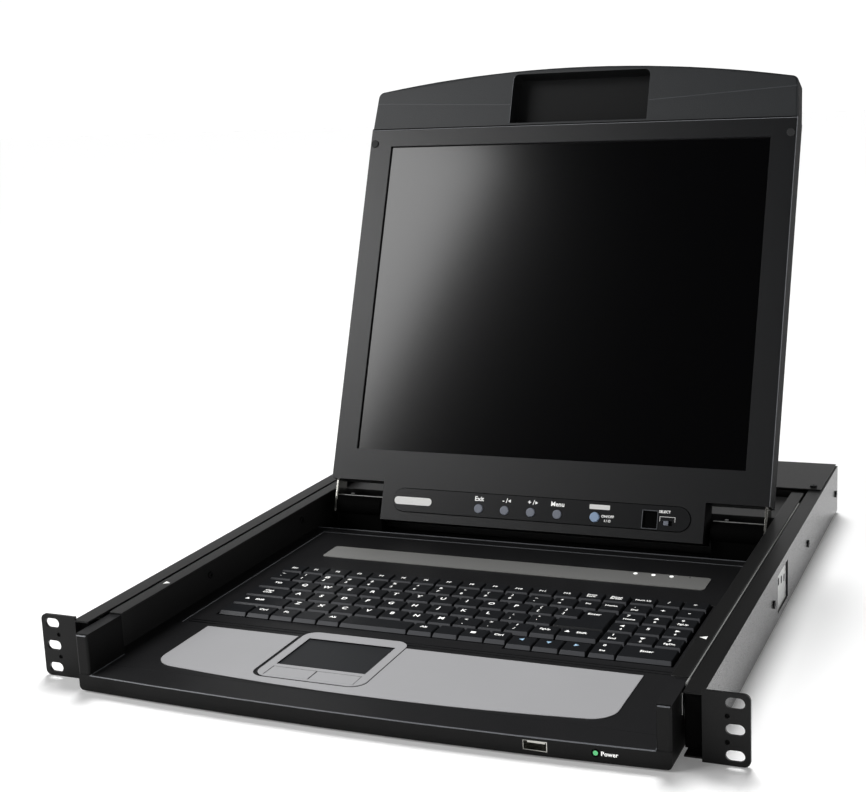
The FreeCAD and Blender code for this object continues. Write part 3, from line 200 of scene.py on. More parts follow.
# The same paint on the indicator plate, a darker grey.
GREY_PAINT = finish_of("satin_grey_paint", "#8f8f8d", 0.5, metallic=0.2, grain_mm=0.4, relief=0.08,
                       mottle=0.04, rough_spread=0.05)
# The touch surface: a dull film with a hint of a sheen.
PAD_FILM = finish_of("touch_film", "#27282a", 0.5, grain_mm=0.5, relief=0.1, rough_spread=0.06)
# Bright zinc: a cool metal with the cloudy patches of plating.
ZINC_PLATE = finish_of("bright_zinc_plate", "#c4c6c4", 0.3, metallic=1.0, grain_mm=2.5, relief=0.04,
                       mottle=0.1, rough_spread=0.08)
# Thin zinc trim on the hinges and along the right runner, duller than new plate. On the hinge castings its
# bright lip and tab paint the highlights of the castings' edges.
ZINC_TRIM_AND_HIGHLIGHTS = finish_of("dull_zinc_trim_and_highlights", "#a9aaa8", 0.45, metallic=0.4, grain_mm=2.0, relief=0.04,
                      mottle=0.1, rough_spread=0.08)
# Nickel on the hinge arms and sockets: warmer and closer to a mirror.
NICKEL_PLATE = finish_of("nickel_plate", "#b9b8b2", 0.24, metallic=1.0, grain_mm=2.0, relief=0.03,
                         mottle=0.06, rough_spread=0.05)
# Black oxide: a dark metal with a soft shine.
BLACK_OXIDE = finish_of("black_oxide_screw", "#101011", 0.42, metallic=0.3, grain_mm=0.6, relief=0.1,
                        rough_spread=0.06)
# The display's anti-glare film: near black, with one broad soft reflection.
SCREEN_FILM = finish_of("anti_glare_film", "#020203", 0.138, grain_mm=0.3, relief=0.01,
                        rough_spread=0.02)
# Moulded grey and pale blue buttons.
BUTTON_ABS = finish_of("button_abs", "#8a8f9b", 0.36, grain_mm=0.5, relief=0.06, rough_spread=0.04)
POWER_ABS = finish_of("power_button_abs", "#a9c2e2", 0.36, grain_mm=0.5, relief=0.06, rough_spread=0.04)
# Fine beads along edges in a pale finish: a painted highlight, the line where the edges catch the light.
EDGE_HIGHLIGHT_PAINT = finish_of("painted_highlight_abs", "#6f7175", 0.26, grain_mm=0.5, relief=0.03, mottle=0.1,
                          rough_spread=0.05, specular=0.6)
# The matt black of joints, stops and hinge castings that the light hardly reaches, also used as painted shade
# in the rails' holes, the screws' crosses and round the touchpad's surface.
DULL_BLACK = finish_of("dull_black_casting", "#040404", 0.85, grain_mm=1.2, relief=0.1, mottle=0.2,
                       rough_spread=0.05, specular=0.08)
# Black nylon with a slight gloss, and dull dark rubber.
BLACK_NYLON = finish_of("black_nylon", "#070708", 0.5, grain_mm=0.6, relief=0.12, rough_spread=0.06)
BUMPER_RUBBER = finish_of("bumper_rubber", "#1e1f20", 0.7, grain_mm=0.7, relief=0.2, rough_spread=0.08)
# Green solder mask.
BOARD = finish_of("solder_mask", "#1c4a2c", 0.4, grain_mm=1.5, relief=0.15, mottle=0.15)
# Printed inks and a bare film label, with a faint glow that is painted light, as none of them is a lamp.
GLOWING_WHITE_INK = finish_of("white_ink_painted_glow", "#f2f2f0", 0.5, grain_mm=0.3, relief=0.05, glow=0.45)
GLOWING_BLUE_INK = finish_of("blue_ink_painted_glow", "#a9cbe6", 0.5, grain_mm=0.3, relief=0.05, glow=0.1)
GLOWING_LABEL_FILM = finish_of("label_film_painted_glow", "#e8e8e6", 0.4, grain_mm=0.6, relief=0.04, mottle=0.04, glow=0.2)
# Lamps: clear ones with a pale light, and the green one that shows power.
CLEAR_LAMP = finish_of("clear_lamp", "#f4f6f2", 0.2, grain_mm=0.8, relief=0.05, glow=1.2)
GREEN_LAMP = finish_of("green_lamp", "#4fae6e", 0.25, grain_mm=0.8, relief=0.05, glow=0.6)

# The frame's pieces that are shown as they are. The others give way to dressed copies.
FINISHES = {
    ZINC_PLATE: ["slide_outer_left", "slide_outer_right", "slide_middle_left", "slide_middle_right",
                 "slide_inner_left", "slide_inner_right"],
    NICKEL_PLATE: ["hinge_pins", "usb_socket", "rear_ports"],
    CLEAR_LAMP: ["indicator_lamps"],
    GREEN_LAMP: ["power_lamp"],
    BLACK_NYLON: ["power_inlet", "power_switch", "power_switch_frame"],
    BOARD: ["switch_board", "control_board"],
}
for finish, names in FINISHES.items():
    for name in names:
        nodes[name].data.materials.clear()
        nodes[name].data.materials.append(finish)


# Modelling -----------------------------------------------------------------------------------------

TOUCHING = 0.00001  # corners nearer than this are one
SMOOTH_CORNER = math.radians(40)  # edges sharper than this stay sharp in the shading


def deselect():
    bpy.ops.object.select_all(action="DESELECT")


def take(*pieces):
    """Selects these pieces alone and makes the first of them active."""
    deselect()
    for piece in pieces:
        piece.select_set(True)
    bpy.context.view_layer.objects.active = pieces[0]
    return pieces[0]


def settle(piece):
    """Moves a piece's place, turn and size into its mesh."""
    take(piece)
    bpy.ops.object.transform_apply(location=True, rotation=True, scale=True)
    return piece


def block(name, low, high):
    """A primitive block between two corners, named and left open to shaping."""
    deselect()
    middle = [(a + b) / 2 for a, b in zip(low, high)]
    bpy.ops.mesh.primitive_cube_add(size=1, location=middle)
    piece = bpy.context.object
    piece.name = name
    piece.scale = [b - a for a, b in zip(low, high)]
    return settle(piece)


def pin(name, radius, length, centre):
    """A primitive cylinder about a centre, along Y."""
    deselect()
    bpy.ops.mesh.primitive_cylinder_add(vertices=24, radius=radius, depth=length, location=centre,
                                        rotation=(math.pi / 2, 0, 0))
    piece = bpy.context.object
    piece.name = name
    return settle(piece)


def pick(piece, kind, test):
    """In edit mode, selects the faces (centre, normal) or edges (middle, direction) that pass a test."""
    take(piece)
    bpy.ops.object.mode_set(mode="EDIT")
    bpy.ops.mesh.select_mode(type=kind)
    bpy.ops.mesh.select_all(action="DESELECT")
    shape = bmesh.from_edit_mesh(piece.data)
    if kind == "FACE":
        for face in shape.faces:
            face.select_set(test(face.calc_center_median(), face.normal))
    else:
        for edge in shape.edges:
            a, b = (end.co for end in edge.verts)
            edge.select_set(test((a + b) / 2, (b - a).normalized()))
    shape.select_flush_mode()
    bmesh.update_edit_mesh(piece.data)


def leave():
    """Leaves edit mode."""
    bpy.ops.object.mode_set(mode="OBJECT")


def bevel_edges(piece, test, width, steps=3):
    """Rounds the edges that pass a test."""
    pick(piece, "EDGE", test)
    bpy.ops.mesh.bevel(offset=width, segments=steps, profile=0.5, affect="EDGES", clamp_overlap=True)
    leave()
    return piece


def even_shading(piece):
    """Smooth shading over the rounded edges that leaves the flat faces flat."""
    take(piece)
    bpy.ops.object.shade_smooth_by_angle(angle=SMOOTH_CORNER)
    modifier = piece.modifiers.new("even_shading", "WEIGHTED_NORMAL")
    modifier.weight, modifier.keep_sharp = 100, True
    bpy.ops.object.modifier_apply(modifier=modifier.name)
    return piece


def soften(piece, width, steps=2, corner=35):
    """A small round on every edge sharper than a corner angle, and shading that follows it."""
    take(piece)
    modifier = piece.modifiers.new("edge_round", "BEVEL")
    modifier.width, modifier.segments = width, steps
    modifier.limit_method, modifier.angle_limit = "ANGLE", math.radians(corner)
    bpy.ops.object.modifier_apply(modifier=modifier.name)
    return even_shading(piece)


def copy_of(piece, name):
    """A copy of a piece with a mesh of its own."""
    twin = piece.copy()
    twin.data = piece.data.copy()
    twin.name = name
    bpy.context.scene.collection.objects.link(twin)
    return twin


def merged_copy(node_name, name):
    """A copy of a frame piece with its triangles joined to faces again."""
    source = nodes[node_name]
    twin = copy_of(source, name)
    twin.parent = None
    twin.matrix_world = source.matrix_world.copy()
    twin.hide_viewport = twin.hide_render = False
    twin.hide_set(False)
    settle(twin)
    bpy.ops.object.mode_set(mode="EDIT")
    bpy.ops.mesh.select_all(action="SELECT")
    bpy.ops.mesh.remove_doubles(threshold=TOUCHING)
    bpy.ops.mesh.dissolve_limited(angle_limit=math.radians(1))
    leave()
    return twin


def joined(name, pieces):
    """Several pieces as one object with a name."""
    take(*pieces)
    if len(pieces) > 1:
        bpy.ops.object.join()
    pieces[0].name = name
    return pieces[0]


def dress(piece, finish, body, *replaced):
    """Gives a piece its finish, hangs it on its body and takes the place of plain frame pieces."""
    piece.data.materials.clear()
    piece.data.materials.append(finish)
    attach(piece, body)
    for name in replaced:
        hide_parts(name)
    return piece


def spread_of(piece):
    """A piece's lowest and highest corner."""
    places = [corner.co for corner in piece.data.vertices]
    return (Vector([min(p[i] for p in places) for i in range(3)]),
            Vector([max(p[i] for p in places) for i in range(3)]))


def islands_of(node_name):
    """The boxes of the separate solids of one frame piece, from left to right."""
    merged_copy(node_name, node_name + "_parts")
    bpy.ops.object.mode_set(mode="EDIT")
    bpy.ops.mesh.select_all(action="SELECT")
    bpy.ops.mesh.separate(type="LOOSE")
    leave()
    boxes = []
    for part in list(bpy.context.selected_objects):
        boxes.append(spread_of(part))
        bpy.data.objects.remove(part)
    return sorted(boxes, key=lambda limits: (limits[0][0], limits[0][1]))


# Studio --------------------------------------------------------------------------------------------

FLOOR_GAP = 0.0002
KEY_PLACE, KEY_TARGET, KEY_SIZE, KEY_POWER = (-1.42, -0.82, 1.31), (-0.08, 0.4, 0.2), (1.2, 0.9), 22
FILL_PLACE, FILL_TARGET, FILL_SIZE, FILL_POWER = (1.9, 0.3, 0.7), (0, 0.2, 0.0), (1.0, 1.0), 2
OVERHEAD_FROM, OVERHEAD_SPREAD, OVERHEAD_POWER = (-0.2, 0.55, 0.86), math.radians(26), 3.4
# The surround is white up to a low height and fades to near black above it.
SURROUND = {"From Min": 0.16, "From Max": 0.36, "To Min": 1.05, "To Max": 0.02}


def lay_floor():
    """A plain white floor just under the ears."""
    deselect()
    bpy.ops.mesh.primitive_plane_add(size=24, location=(0, 0, cad_box[0][2] - FLOOR_GAP))
    floor = bpy.context.object
    floor.name = "floor"
    floor.data.materials.append(finish_of("white_paper", "#f4f4f4", 0.95, grain_mm=3.0, relief=0.01,
                                          specular=0.1, glow=0.14))


def light_studio():
    """A soft box at the front left, an even light above, a faint fill at the right, a white horizon."""
    soft_box("key_light", KEY_PLACE, KEY_TARGET, KEY_SIZE, KEY_POWER)
    soft_box("fill_light", FILL_PLACE, FILL_TARGET, FILL_SIZE, FILL_POWER)
    above = bpy.data.lights.new("overhead_light", "SUN")
    above.energy, above.angle = OVERHEAD_POWER, OVERHEAD_SPREAD
    lamp = bpy.data.objects.new("overhead_light", above)
    lamp.rotation_euler = Vector(OVERHEAD_FROM).to_track_quat("Z", "Y").to_euler()
    lamp.visible_glossy = False  # it lights the matt surfaces and leaves no hot spot on the gloss
    bpy.context.scene.collection.objects.link(lamp)
    world = bpy.data.worlds.new("surround")
    world.use_nodes = True
    tree = world.node_tree
    way = add(tree, "ShaderNodeTexCoord").outputs["Generated"]
    parts = add(tree, "ShaderNodeSeparateXYZ", [(way, "Vector")])
    height = add(tree, "ShaderNodeMapRange", [(parts.outputs["Z"], "Value")],
                 interpolation_type="SMOOTHSTEP")
    for name, value in SURROUND.items():
        height.inputs[name].default_value = value
    tree.links.new(height.outputs["Result"], tree.nodes["Background"].inputs["Strength"])
    tree.nodes["Background"].inputs["Color"].default_value = (1, 1, 1, 1)
    bpy.context.scene.world = world
    bpy.context.scene.view_settings.view_transform = "Standard"


# Print and small flat pieces -----------------------------------------------------------------------

INK = 0.00004  # the thickness of printed ink
INK_WEIGHT = 0.022  # how far a letter's strokes swell, in parts of its size


def words(name, text, size, place):
    """A flat line of text that lies face up, as thin ink."""
    deselect()
    curve = bpy.data.curves.new(name, "FONT")
    curve.body, curve.size = text, size
    curve.align_x, curve.align_y = "CENTER", "CENTER"
    curve.extrude = INK / 2
    curve.offset = size * INK_WEIGHT
    curve.resolution_u = 2
    made = bpy.data.objects.new(name, curve)
    bpy.context.scene.collection.objects.link(made)
    take(made)
    bpy.ops.object.convert(target="MESH")
    made.location = place
    return settle(made)


def tablet(name, low, high, corner):
    """A flat plate with rounded corners seen from above."""
    piece = block(name, low, high)
    return bevel_edges(piece, lambda middle, way: abs(way.z) > 0.9, corner, 5)


def arrowhead(name, place, size, turn=0.0, thick=INK):
    """A small flat triangle that points to +Y before its turn."""
    deselect()
    bpy.ops.mesh.primitive_cylinder_add(vertices=3, radius=size / 2, depth=thick, location=place,
                                        rotation=(0, 0, turn))
    piece = bpy.context.object
    piece.name = name
    return settle(piece)


# The screen leans back about the line where its face meets the tray.
SCREEN_FOOT, SCREEN_LEAN = 0.3275, math.radians(22.23)
LEANING = Matrix.Translation((0, SCREEN_FOOT, 0)) @ Matrix.Rotation(-SCREEN_LEAN, 4, "X")
FACING = Matrix.Rotation(math.radians(90), 4, "X")


def upright(piece):
    """Takes a leaning piece of the screen out of its lean, so that its sides follow the axes."""
    piece.matrix_world = LEANING.inverted()
    return settle(piece)


def lean(piece, flat=False):
    """Sets an upright piece, or a flat one first stood up to face the front, into the screen's lean."""
    piece.matrix_world = LEANING @ FACING if flat else LEANING
    return settle(piece)


# Keyboard ------------------------------------------------------------------------------------------

SKIRT, KEY_HEIGHT = 0.0022, 0.0046
SIDE_TAPER, FRONT_TAPER, BACK_TAPER = 0.0007, 0.0027, 0.0007
CORNER_ROUND, TOP_ROUND = 0.0006, 0.0004
STEM_HALF, STEM_LENGTH, STEM_OVERLAP = 0.003, 0.0036, 0.0002
key_patterns = {}


def key_cap(width, depth):
    """One key cap about its own centre: an upright skirt, sloped sides, round corners and its stem."""
    size = (round(width, 5), round(depth, 5))
    if size in key_patterns:
        return key_patterns[size]
    cap = block("key_pattern", (-width / 2, -depth / 2, 0), (width / 2, depth / 2, SKIRT))
    pick(cap, "FACE", lambda centre, normal: normal.z > 0.9)
    bpy.ops.mesh.extrude_region_move(TRANSFORM_OT_translate={"value": (0, 0, KEY_HEIGHT - SKIRT)})
    bpy.ops.transform.resize(value=((width - 2 * SIDE_TAPER) / width,
                                    (depth - FRONT_TAPER - BACK_TAPER) / depth, 1),
                             center_override=(0, 0, KEY_HEIGHT))
    bpy.ops.transform.translate(value=(0, (FRONT_TAPER - BACK_TAPER) / 2, 0))
    leave()
    bevel_edges(cap, lambda middle, way: abs(way.z) > 0.5, CORNER_ROUND)
    bevel_edges(cap, lambda middle, way: abs(middle.z - KEY_HEIGHT) < TOUCHING, TOP_ROUND)
    stem = block("stem_pattern", (-STEM_HALF, -STEM_HALF, -STEM_LENGTH), (STEM_HALF, STEM_HALF, STEM_OVERLAP))
    bevel_edges(stem, lambda middle, way: middle.z < -STEM_LENGTH + 0.0001, TOP_ROUND, 1)
    cap = joined("key_pattern", [cap, stem])
    key_patterns[size] = even_shading(cap)
    return cap


# The ink on a key is a list of marks. Each mark is a text, an arrow or the menu sign, with its place
# across and along the key's top in parts of it, and its size in millimetres.
ARROWS = {"UP": 0.0, "LEFT": math.radians(90), "DOWN": math.radians(180), "RIGHT": math.radians(-90)}
LEGEND_MARGIN, LEGEND_LIFT = 0.0012, 0.00003
MENU_HALF_WIDTH, MENU_HALF_DEPTH, MENU_CORNER = 0.0018, 0.0015, 0.0004


def legend_pieces(label, low, high, marks):
    """The ink on the key between two corners."""
    pieces = []
    left, right = low[0] + SIDE_TAPER + LEGEND_MARGIN, high[0] - SIDE_TAPER - LEGEND_MARGIN
    front, rear = low[1] + FRONT_TAPER + LEGEND_MARGIN, high[1] - BACK_TAPER - LEGEND_MARGIN
    top = high[2] + LEGEND_LIFT
    for index, (mark, across, along, size) in enumerate(marks):
        x, y = left + (right - left) * across, front + (rear - front) * along
        name = f"{label}_mark_{index}"
        if mark in ARROWS:
            pieces.append(arrowhead(name, (x, y, top), size * MM, ARROWS[mark]))
        elif mark == "MENU":
            pieces.append(tablet(name, (x - MENU_HALF_WIDTH, y - MENU_HALF_DEPTH, top - INK / 2),
                                 (x + MENU_HALF_WIDTH, y + MENU_HALF_DEPTH, top + INK / 2), MENU_CORNER))
        else:
            pieces.append(words(name, mark, size * MM, (x, y, top)))
    return pieces


def letters(text):
    """One letter a key."""
    return [[(letter, 0.36, 0.6, 6.2)] for letter in text]


def pairs(*both):
    """Two signs a key, the shifted one above."""
    return [[(upper, 0.3, 0.8, 4.4), (lower, 0.3, 0.24, 4.4)] for upper, lower in both]


def word(text, size=3.7, along=0.6):
    """A word, or two lines parted by a stroke."""
    lines = text.split("/")
    return [(line, 0.46, along + 0.3 * ((len(lines) - 1) / 2 - index), size)
            for index, line in enumerate(lines)]


def arrow_key(mark, text=""):
    """An arrow, above a figure if it shares a key with one."""
    return [(mark, 0.45, 0.7, 4.4)] + ([(text, 0.46, 0.2, 3.6)] if text else [])


def shift_key(across):
    """An arrow and its word, which stands further along on the wider key."""
    return [("UP", 0.14, 0.6, 4.4), ("Shift", across, 0.58, 4.2)]


def pad_key(figure, text, across=0.34, text_across=0.4, size=4.6, text_size=3.7):
    """A figure above the word for the key's second use."""
    return [(figure, across, 0.78, size), (text, text_across, 0.26, text_size)]


TOP_ROW = ["Esc"] + [f"F{count}" for count in range(1, 13)] + ["Print/Scrn", "Pause/Break"]
CTRL, ALT = word("Ctrl", 4.2), word("Alt", 4.2)
LEGENDS = {
    "keys_function": [word(text, 3.8, 0.5) for text in TOP_ROW]
    + [word("Num Lk", 3.6, 0.5), [("/", 0.45, 0.5, 5.0)], [("*", 0.45, 0.4, 6.0)]],
    "keys_number": pairs("~`", "!1", "@2", "#3", "$4", "%5", "^6", "&7", "*8", "(9", ")0", "_-", "+=")
    + [word("Ins"), word("Home")],
    "keys_upper": [word("Tab", 4.2)] + letters("QWERTYUIOP") + pairs("{[", "}]"),
    "keys_home": [word("Caps/Lock", 3.7, 0.55)] + letters("ASDFGHJKL") + pairs(":;", "\"'"),
    "keys_lower": [shift_key(0.42)] + letters("ZXCVBNM") + pairs("<,", ">.", "?/")
    + [word("PgUp"), shift_key(0.55)],
    "keys_bottom": [[], CTRL, word("Fn", 4.2), [], ALT, ALT, [], [("MENU", 0.4, 0.55, 4.2)], CTRL],
    "key_space": [[]],
    "keys_arrow": [arrow_key("LEFT"), arrow_key("DOWN"), arrow_key("RIGHT")],
    # From the front row back, left to right.
    "keys_number_pad": [
        pad_key("0", "Ins"), word("Enter", 4.2),
        pad_key("1", "End"), arrow_key("DOWN", "2"), pad_key("3", "PgDn", 0.4, 0.5),
        arrow_key("LEFT", "4"), [("5", 0.4, 0.6, 5.2)], arrow_key("RIGHT", "6"),
        pad_key("7", "Home", 0.34, 0.5, text_size=3.5), arrow_key("UP", "8"), pad_key("9", "PgUp", 0.4, 0.5),
        pad_key(".", "Del", size=5.0), [("+", 0.45, 0.55, 6.0)], [("-", 0.45, 0.55, 6.4)]],
}
PAD_ROW = 0.008  # caps of the number pad whose rear edges share a band this deep form one row


def set_keys(node_name):
    """Every cap of one row where the frame has it, with its legend, in place of the plain caps."""
    boxes = islands_of(node_name)
    if node_name == "keys_number_pad":
        boxes.sort(key=lambda limits: (round(limits[1][1] / PAD_ROW), limits[0][0]))
    caps, ink = [], []
    for index, (low, high) in enumerate(boxes):
        cap = copy_of(key_cap(high[0] - low[0], high[1] - low[1]), f"{node_name}_cap_{index}")
        cap.location = ((low[0] + high[0]) / 2, (low[1] + high[1]) / 2, high[2] - KEY_HEIGHT)
        caps.append(settle(cap))
        ink += legend_pieces(f"{node_name}_{index}", low, high, LEGENDS[node_name][index])
    caps = dress(joined(node_name + "_caps", caps), KEY_ABS, node_name, node_name)
    # The front slopes take the paler finish: a painted sheen on the caps.
    two_tone(caps, KEY_SLOPE_SHEEN_ABS, lambda centre, normal: normal.y < -0.45 and 0.15 < normal.z < 0.93)
    if ink:
        colour = GLOWING_BLUE_INK if node_name == "keys_arrow" else GLOWING_WHITE_INK
        dress(joined(node_name + "_legends", ink), colour, node_name)


ENTER_SIZE, ENTER_RIGHT, ENTER_FROM_REAR = 0.0044, 0.004, 0.008


def set_enter_key():
    """The enter key of the main block, which is two rows deep, with its word near the rear."""
    cap = soften(merged_copy("key_enter", "key_enter_cap"), PANEL_ROUND, 3, 20)
    dress(cap, KEY_ABS, "key_enter", "key_enter")
    low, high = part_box("key_enter")
    place = ((low[0] + high[0]) / 2 + ENTER_RIGHT, high[1] - ENTER_FROM_REAR, high[2] + INK / 2)
    dress(words("key_enter_legend", "Enter", ENTER_SIZE, place), GLOWING_WHITE_INK, "key_enter")


def set_keyboard():
    """All the rows, the enter key, and the plate under them."""
    for node_name in LEGENDS:
        set_keys(node_name)
    set_enter_key()
    for cap in key_patterns.values():
        bpy.data.objects.remove(cap)
    rounded_copy("keyboard_base", KEY_ABS, "drawer", FINE_ROUND)


# Edges and tones -----------------------------------------------------------------------------------

FINE_ROUND, SHEET_ROUND, PANEL_ROUND, MOULD_ROUND, BUTTON_ROUND = 0.0003, 0.0004, 0.0005, 0.0006, 0.0009


def rounded_copy(node_name, finish, body, width, steps=2, corner=35):
    """A frame piece with its edges eased, in place of the plain one."""
    piece = soften(merged_copy(node_name, node_name + "_eased"), width, steps, corner)
    return dress(piece, finish, body, node_name)


def two_tone(piece, finish, test):
    """Gives a second finish to the faces (centre, normal) that pass a test."""
    piece.data.materials.append(finish)
    for face in piece.data.polygons:
        if test(face.center, face.normal):
            face.material_index = len(piece.data.materials) - 1
    return piece


def edge_bead(node_name, name, test, radius, leaning=False, cut_at=None):
    """A fine round bead along the edges of a frame piece that pass a test."""
    twin = merged_copy(node_name, name + "_source")
    if leaning:
        upright(twin)
    for place in (-cut_at, cut_at) if cut_at else ():
        pick(twin, "FACE", lambda centre, normal: True)
        bpy.ops.mesh.bisect(plane_co=(place, 0, 0), plane_no=(1, 0, 0))
        leave()
    pick(twin, "EDGE", test)
    bpy.ops.mesh.duplicate()
    bpy.ops.mesh.separate(type="SELECTED")
    leave()
    line = next(piece for piece in bpy.context.selected_objects if piece is not twin)
    bpy.data.objects.remove(twin)
    take(line)
    bpy.ops.object.convert(target="CURVE")
    line = bpy.context.object
    line.data.bevel_depth, line.data.bevel_resolution, line.data.use_fill_caps = radius, 1, True
    bpy.ops.object.convert(target="MESH")
    line = bpy.context.object
    line.name = name
    return lean(line) if leaning else line


def shifted(piece, step):
    """Moves a finished piece by a step and leaves it at the origin."""
    piece.location = step
    return settle(piece)


# Screen, measured upright from its foot: across, out of its face towards -Y, up ----------------------

SCREEN_HALF, SCREEN_TOP = 0.189, 0.3506
FACE_DEPTH = 0.0006  # what lies less far behind the bezel's face belongs to the face
RECESS_MIDDLE, RECESS_HALF, RECESS_TOP, RECESS_STEP = 0.0025, 0.0616, 0.3974, 0.0018
RECESS_LEFT = -0.0585
CREASES = (("left", (-0.1865, 0.3748), (-0.0590, 0.3698)), ("right", (0.0645, 0.3694), (0.1865, 0.3770)))
RIDGE_PROUD, RIDGE_SUNK, RIDGE_HALF = 0.0002, 0.0012, 0.0005
JOINT_INSET, TOP_BEAD, SIDE_BEAD, TOP_BEAD_DROP = 0.0008, 0.00027, 0.00022, 0.0012
DISPLAY_BORDER = 0.0034


def ridge(name, start, end, face):
    """A low straight ridge on the grip's face between two points (across, up)."""
    run = Vector((end[0] - start[0], 0, end[1] - start[1]))
    half = run.length / 2
    piece = block(name, (-half, -RIDGE_PROUD, -RIDGE_HALF), (half, RIDGE_SUNK, RIDGE_HALF))
    bevel_edges(piece, lambda middle, way: middle.y < 0, 0.00025, 2)
    middle = ((start[0] + end[0]) / 2, face, (start[1] + end[1]) / 2)
    piece.matrix_world = Matrix.Translation(middle) @ Matrix.Rotation(-math.atan2(run.z, run.x), 4, "Y")
    return settle(piece)


def set_grip():
    """The grip with its recess painted black as shade, its ends in the side finish, and a paler ridge painted
    as a highlight along the crease each side of the recess.
    """
    grip = upright(merged_copy("screen_handle", "grip_moulding"))
    front = spread_of(grip)[0][1]
    dress(soften(grip, SHEET_ROUND, 2, 25), GRIP_ABS, "screen", "screen_handle")
    # Faces deep inside the recess are painted black as shade.
    grip.data.materials.append(RECESS_SHADE_ABS)
    for face in grip.data.polygons:
        corners = [grip.data.vertices[index].co for index in face.vertices]
        within = all(abs(c.x - RECESS_MIDDLE) < RECESS_HALF and c.z < RECESS_TOP for c in corners)
        if within and max(c.y for c in corners) > front + RECESS_STEP:
            face.material_index = 1
    # The grip's ends take the side finish: paler, as painted light.
    two_tone(grip, SIDE_LIGHT_ABS, lambda centre, normal: abs(normal.x) > 0.9 and abs(centre.x) > 0.15)
    lean(grip)
    # Paler ridges along the creases: painted highlights.
    creases = [ridge(f"grip_crease_{side}", start, end, front) for side, start, end in CREASES]
    dress(lean(joined("grip_creases", creases)), GRIP_CREASE_HIGHLIGHT_ABS, "screen")
    return front


def set_screen_edges(front):
    """The dark joint under the grip, and pale beads that paint the highlights along the edges of the bezel
    and of the recess.
    """
    joint = block("grip_joint", (JOINT_INSET - SCREEN_HALF, -0.0002, SCREEN_TOP - 0.0009),
                  (SCREEN_HALF - JOINT_INSET, 0.0008, SCREEN_TOP - 0.0001))
    bevel_edges(joint, lambda middle, way: abs(way.x) > 0.9, 0.00015, 2)
    dress(lean(joint), DULL_BLACK, "screen")
    top = edge_bead("screen_bezel", "bezel_top_bead", lambda middle, way: abs(way.x) > 0.9
                    and abs(middle.z - SCREEN_TOP) < 0.0004 and middle.y < FACE_DEPTH, TOP_BEAD, True)
    shifted(top, LEANING.to_3x3() @ Vector((0, 0, -TOP_BEAD_DROP)))
    side = edge_bead("screen_bezel", "bezel_side_bead", lambda middle, way: abs(way.z) > 0.9
                     and middle.x > SCREEN_HALF - 0.0004 and middle.y < FACE_DEPTH, SIDE_BEAD, True)
    recess = edge_bead("screen_handle", "recess_bead", lambda middle, way: abs(way.z) > 0.8
                       and abs(middle.x - RECESS_LEFT) < 0.003 and middle.y < front + 0.001, SIDE_BEAD, True)
    dress(joined("screen_edge_beads", [top, side, recess]), EDGE_HIGHLIGHT_PAINT, "screen")


def set_display():
    """The panel behind its window: a black border round the film."""
    panel = upright(merged_copy("display_panel", "display_glass"))
    pick(panel, "FACE", lambda centre, normal: normal.y < -0.9)
    bpy.ops.mesh.inset(thickness=DISPLAY_BORDER)
    leave()
    panel.data.materials.clear()
    panel.data.materials.append(BLACK_NYLON)
    panel.data.materials.append(SCREEN_FILM)
    for face in panel.data.polygons:
        film = face.normal.y < -0.9 and abs(face.center.x) < 0.01 and face.area > 0.05
        face.material_index = 1 if film else 0
    lean(panel)
    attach(panel, "screen")
    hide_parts("display_panel")


# Control strip: places across the screen and up it. A flat piece is made lying and then stood up.
STRIP_FACE = 0.0016  # how far the strip stands in front of the bezel
STRIP_PRINT = STRIP_FACE + 0.00002
WORD_ROW, BUTTON_WORD, SMALL_WORD = 0.0243, 0.0052, 0.0029
FIRST_BUTTON, BUTTON_PITCH = -0.0499, 0.0228
STRIP_JOINT, STRIP_LABEL = ((-0.1286, 0.0089), (0.1286, 0.0296)), ((-0.1265, 0.0153), (-0.0925, 0.0218))
POWER_LABEL, MODE_BRACKET = ((0.0455, 0.0226), (0.0625, 0.0264)), ((0.1038, 0.0165), (0.1162, 0.0205))
PORT_RIM = ((0.0893, 0.0100), (0.1023, 0.0250))
SMALL_WORDS = (("power_word", "ON/OFF", 0.0612, 0.0172), ("power_bar", "I / O", 0.0612, 0.0137),
               ("mode_word", "SELECT", 0.1075, WORD_ROW))


def on_screen(piece, finish):
    """Stands a flat piece up on the leaning screen and gives it its finish."""
    return dress(lean(piece, flat=True), finish, "screen")


def flat_label(name, low, high, face, thick, corner, finish):
    """A thin label with round corners, from a face outwards."""
    return on_screen(tablet(name, (*low, face), (*high, face + thick), corner), finish)


def frame_lines(name, low, high, line, thick, closed):
    """Flat lines along the sides of a rectangle, with its lower side if it is closed."""
    sides = [(low, (low[0] + line, high[1])), ((high[0] - line, low[1]), high),
             ((low[0], high[1] - line), high)]
    if closed:
        sides.append((low, (high[0], low[1] + line)))
    return [block(f"{name}_{index}", (*near, STRIP_PRINT), (*far, STRIP_PRINT + thick))
            for index, (near, far) in enumerate(sides)]


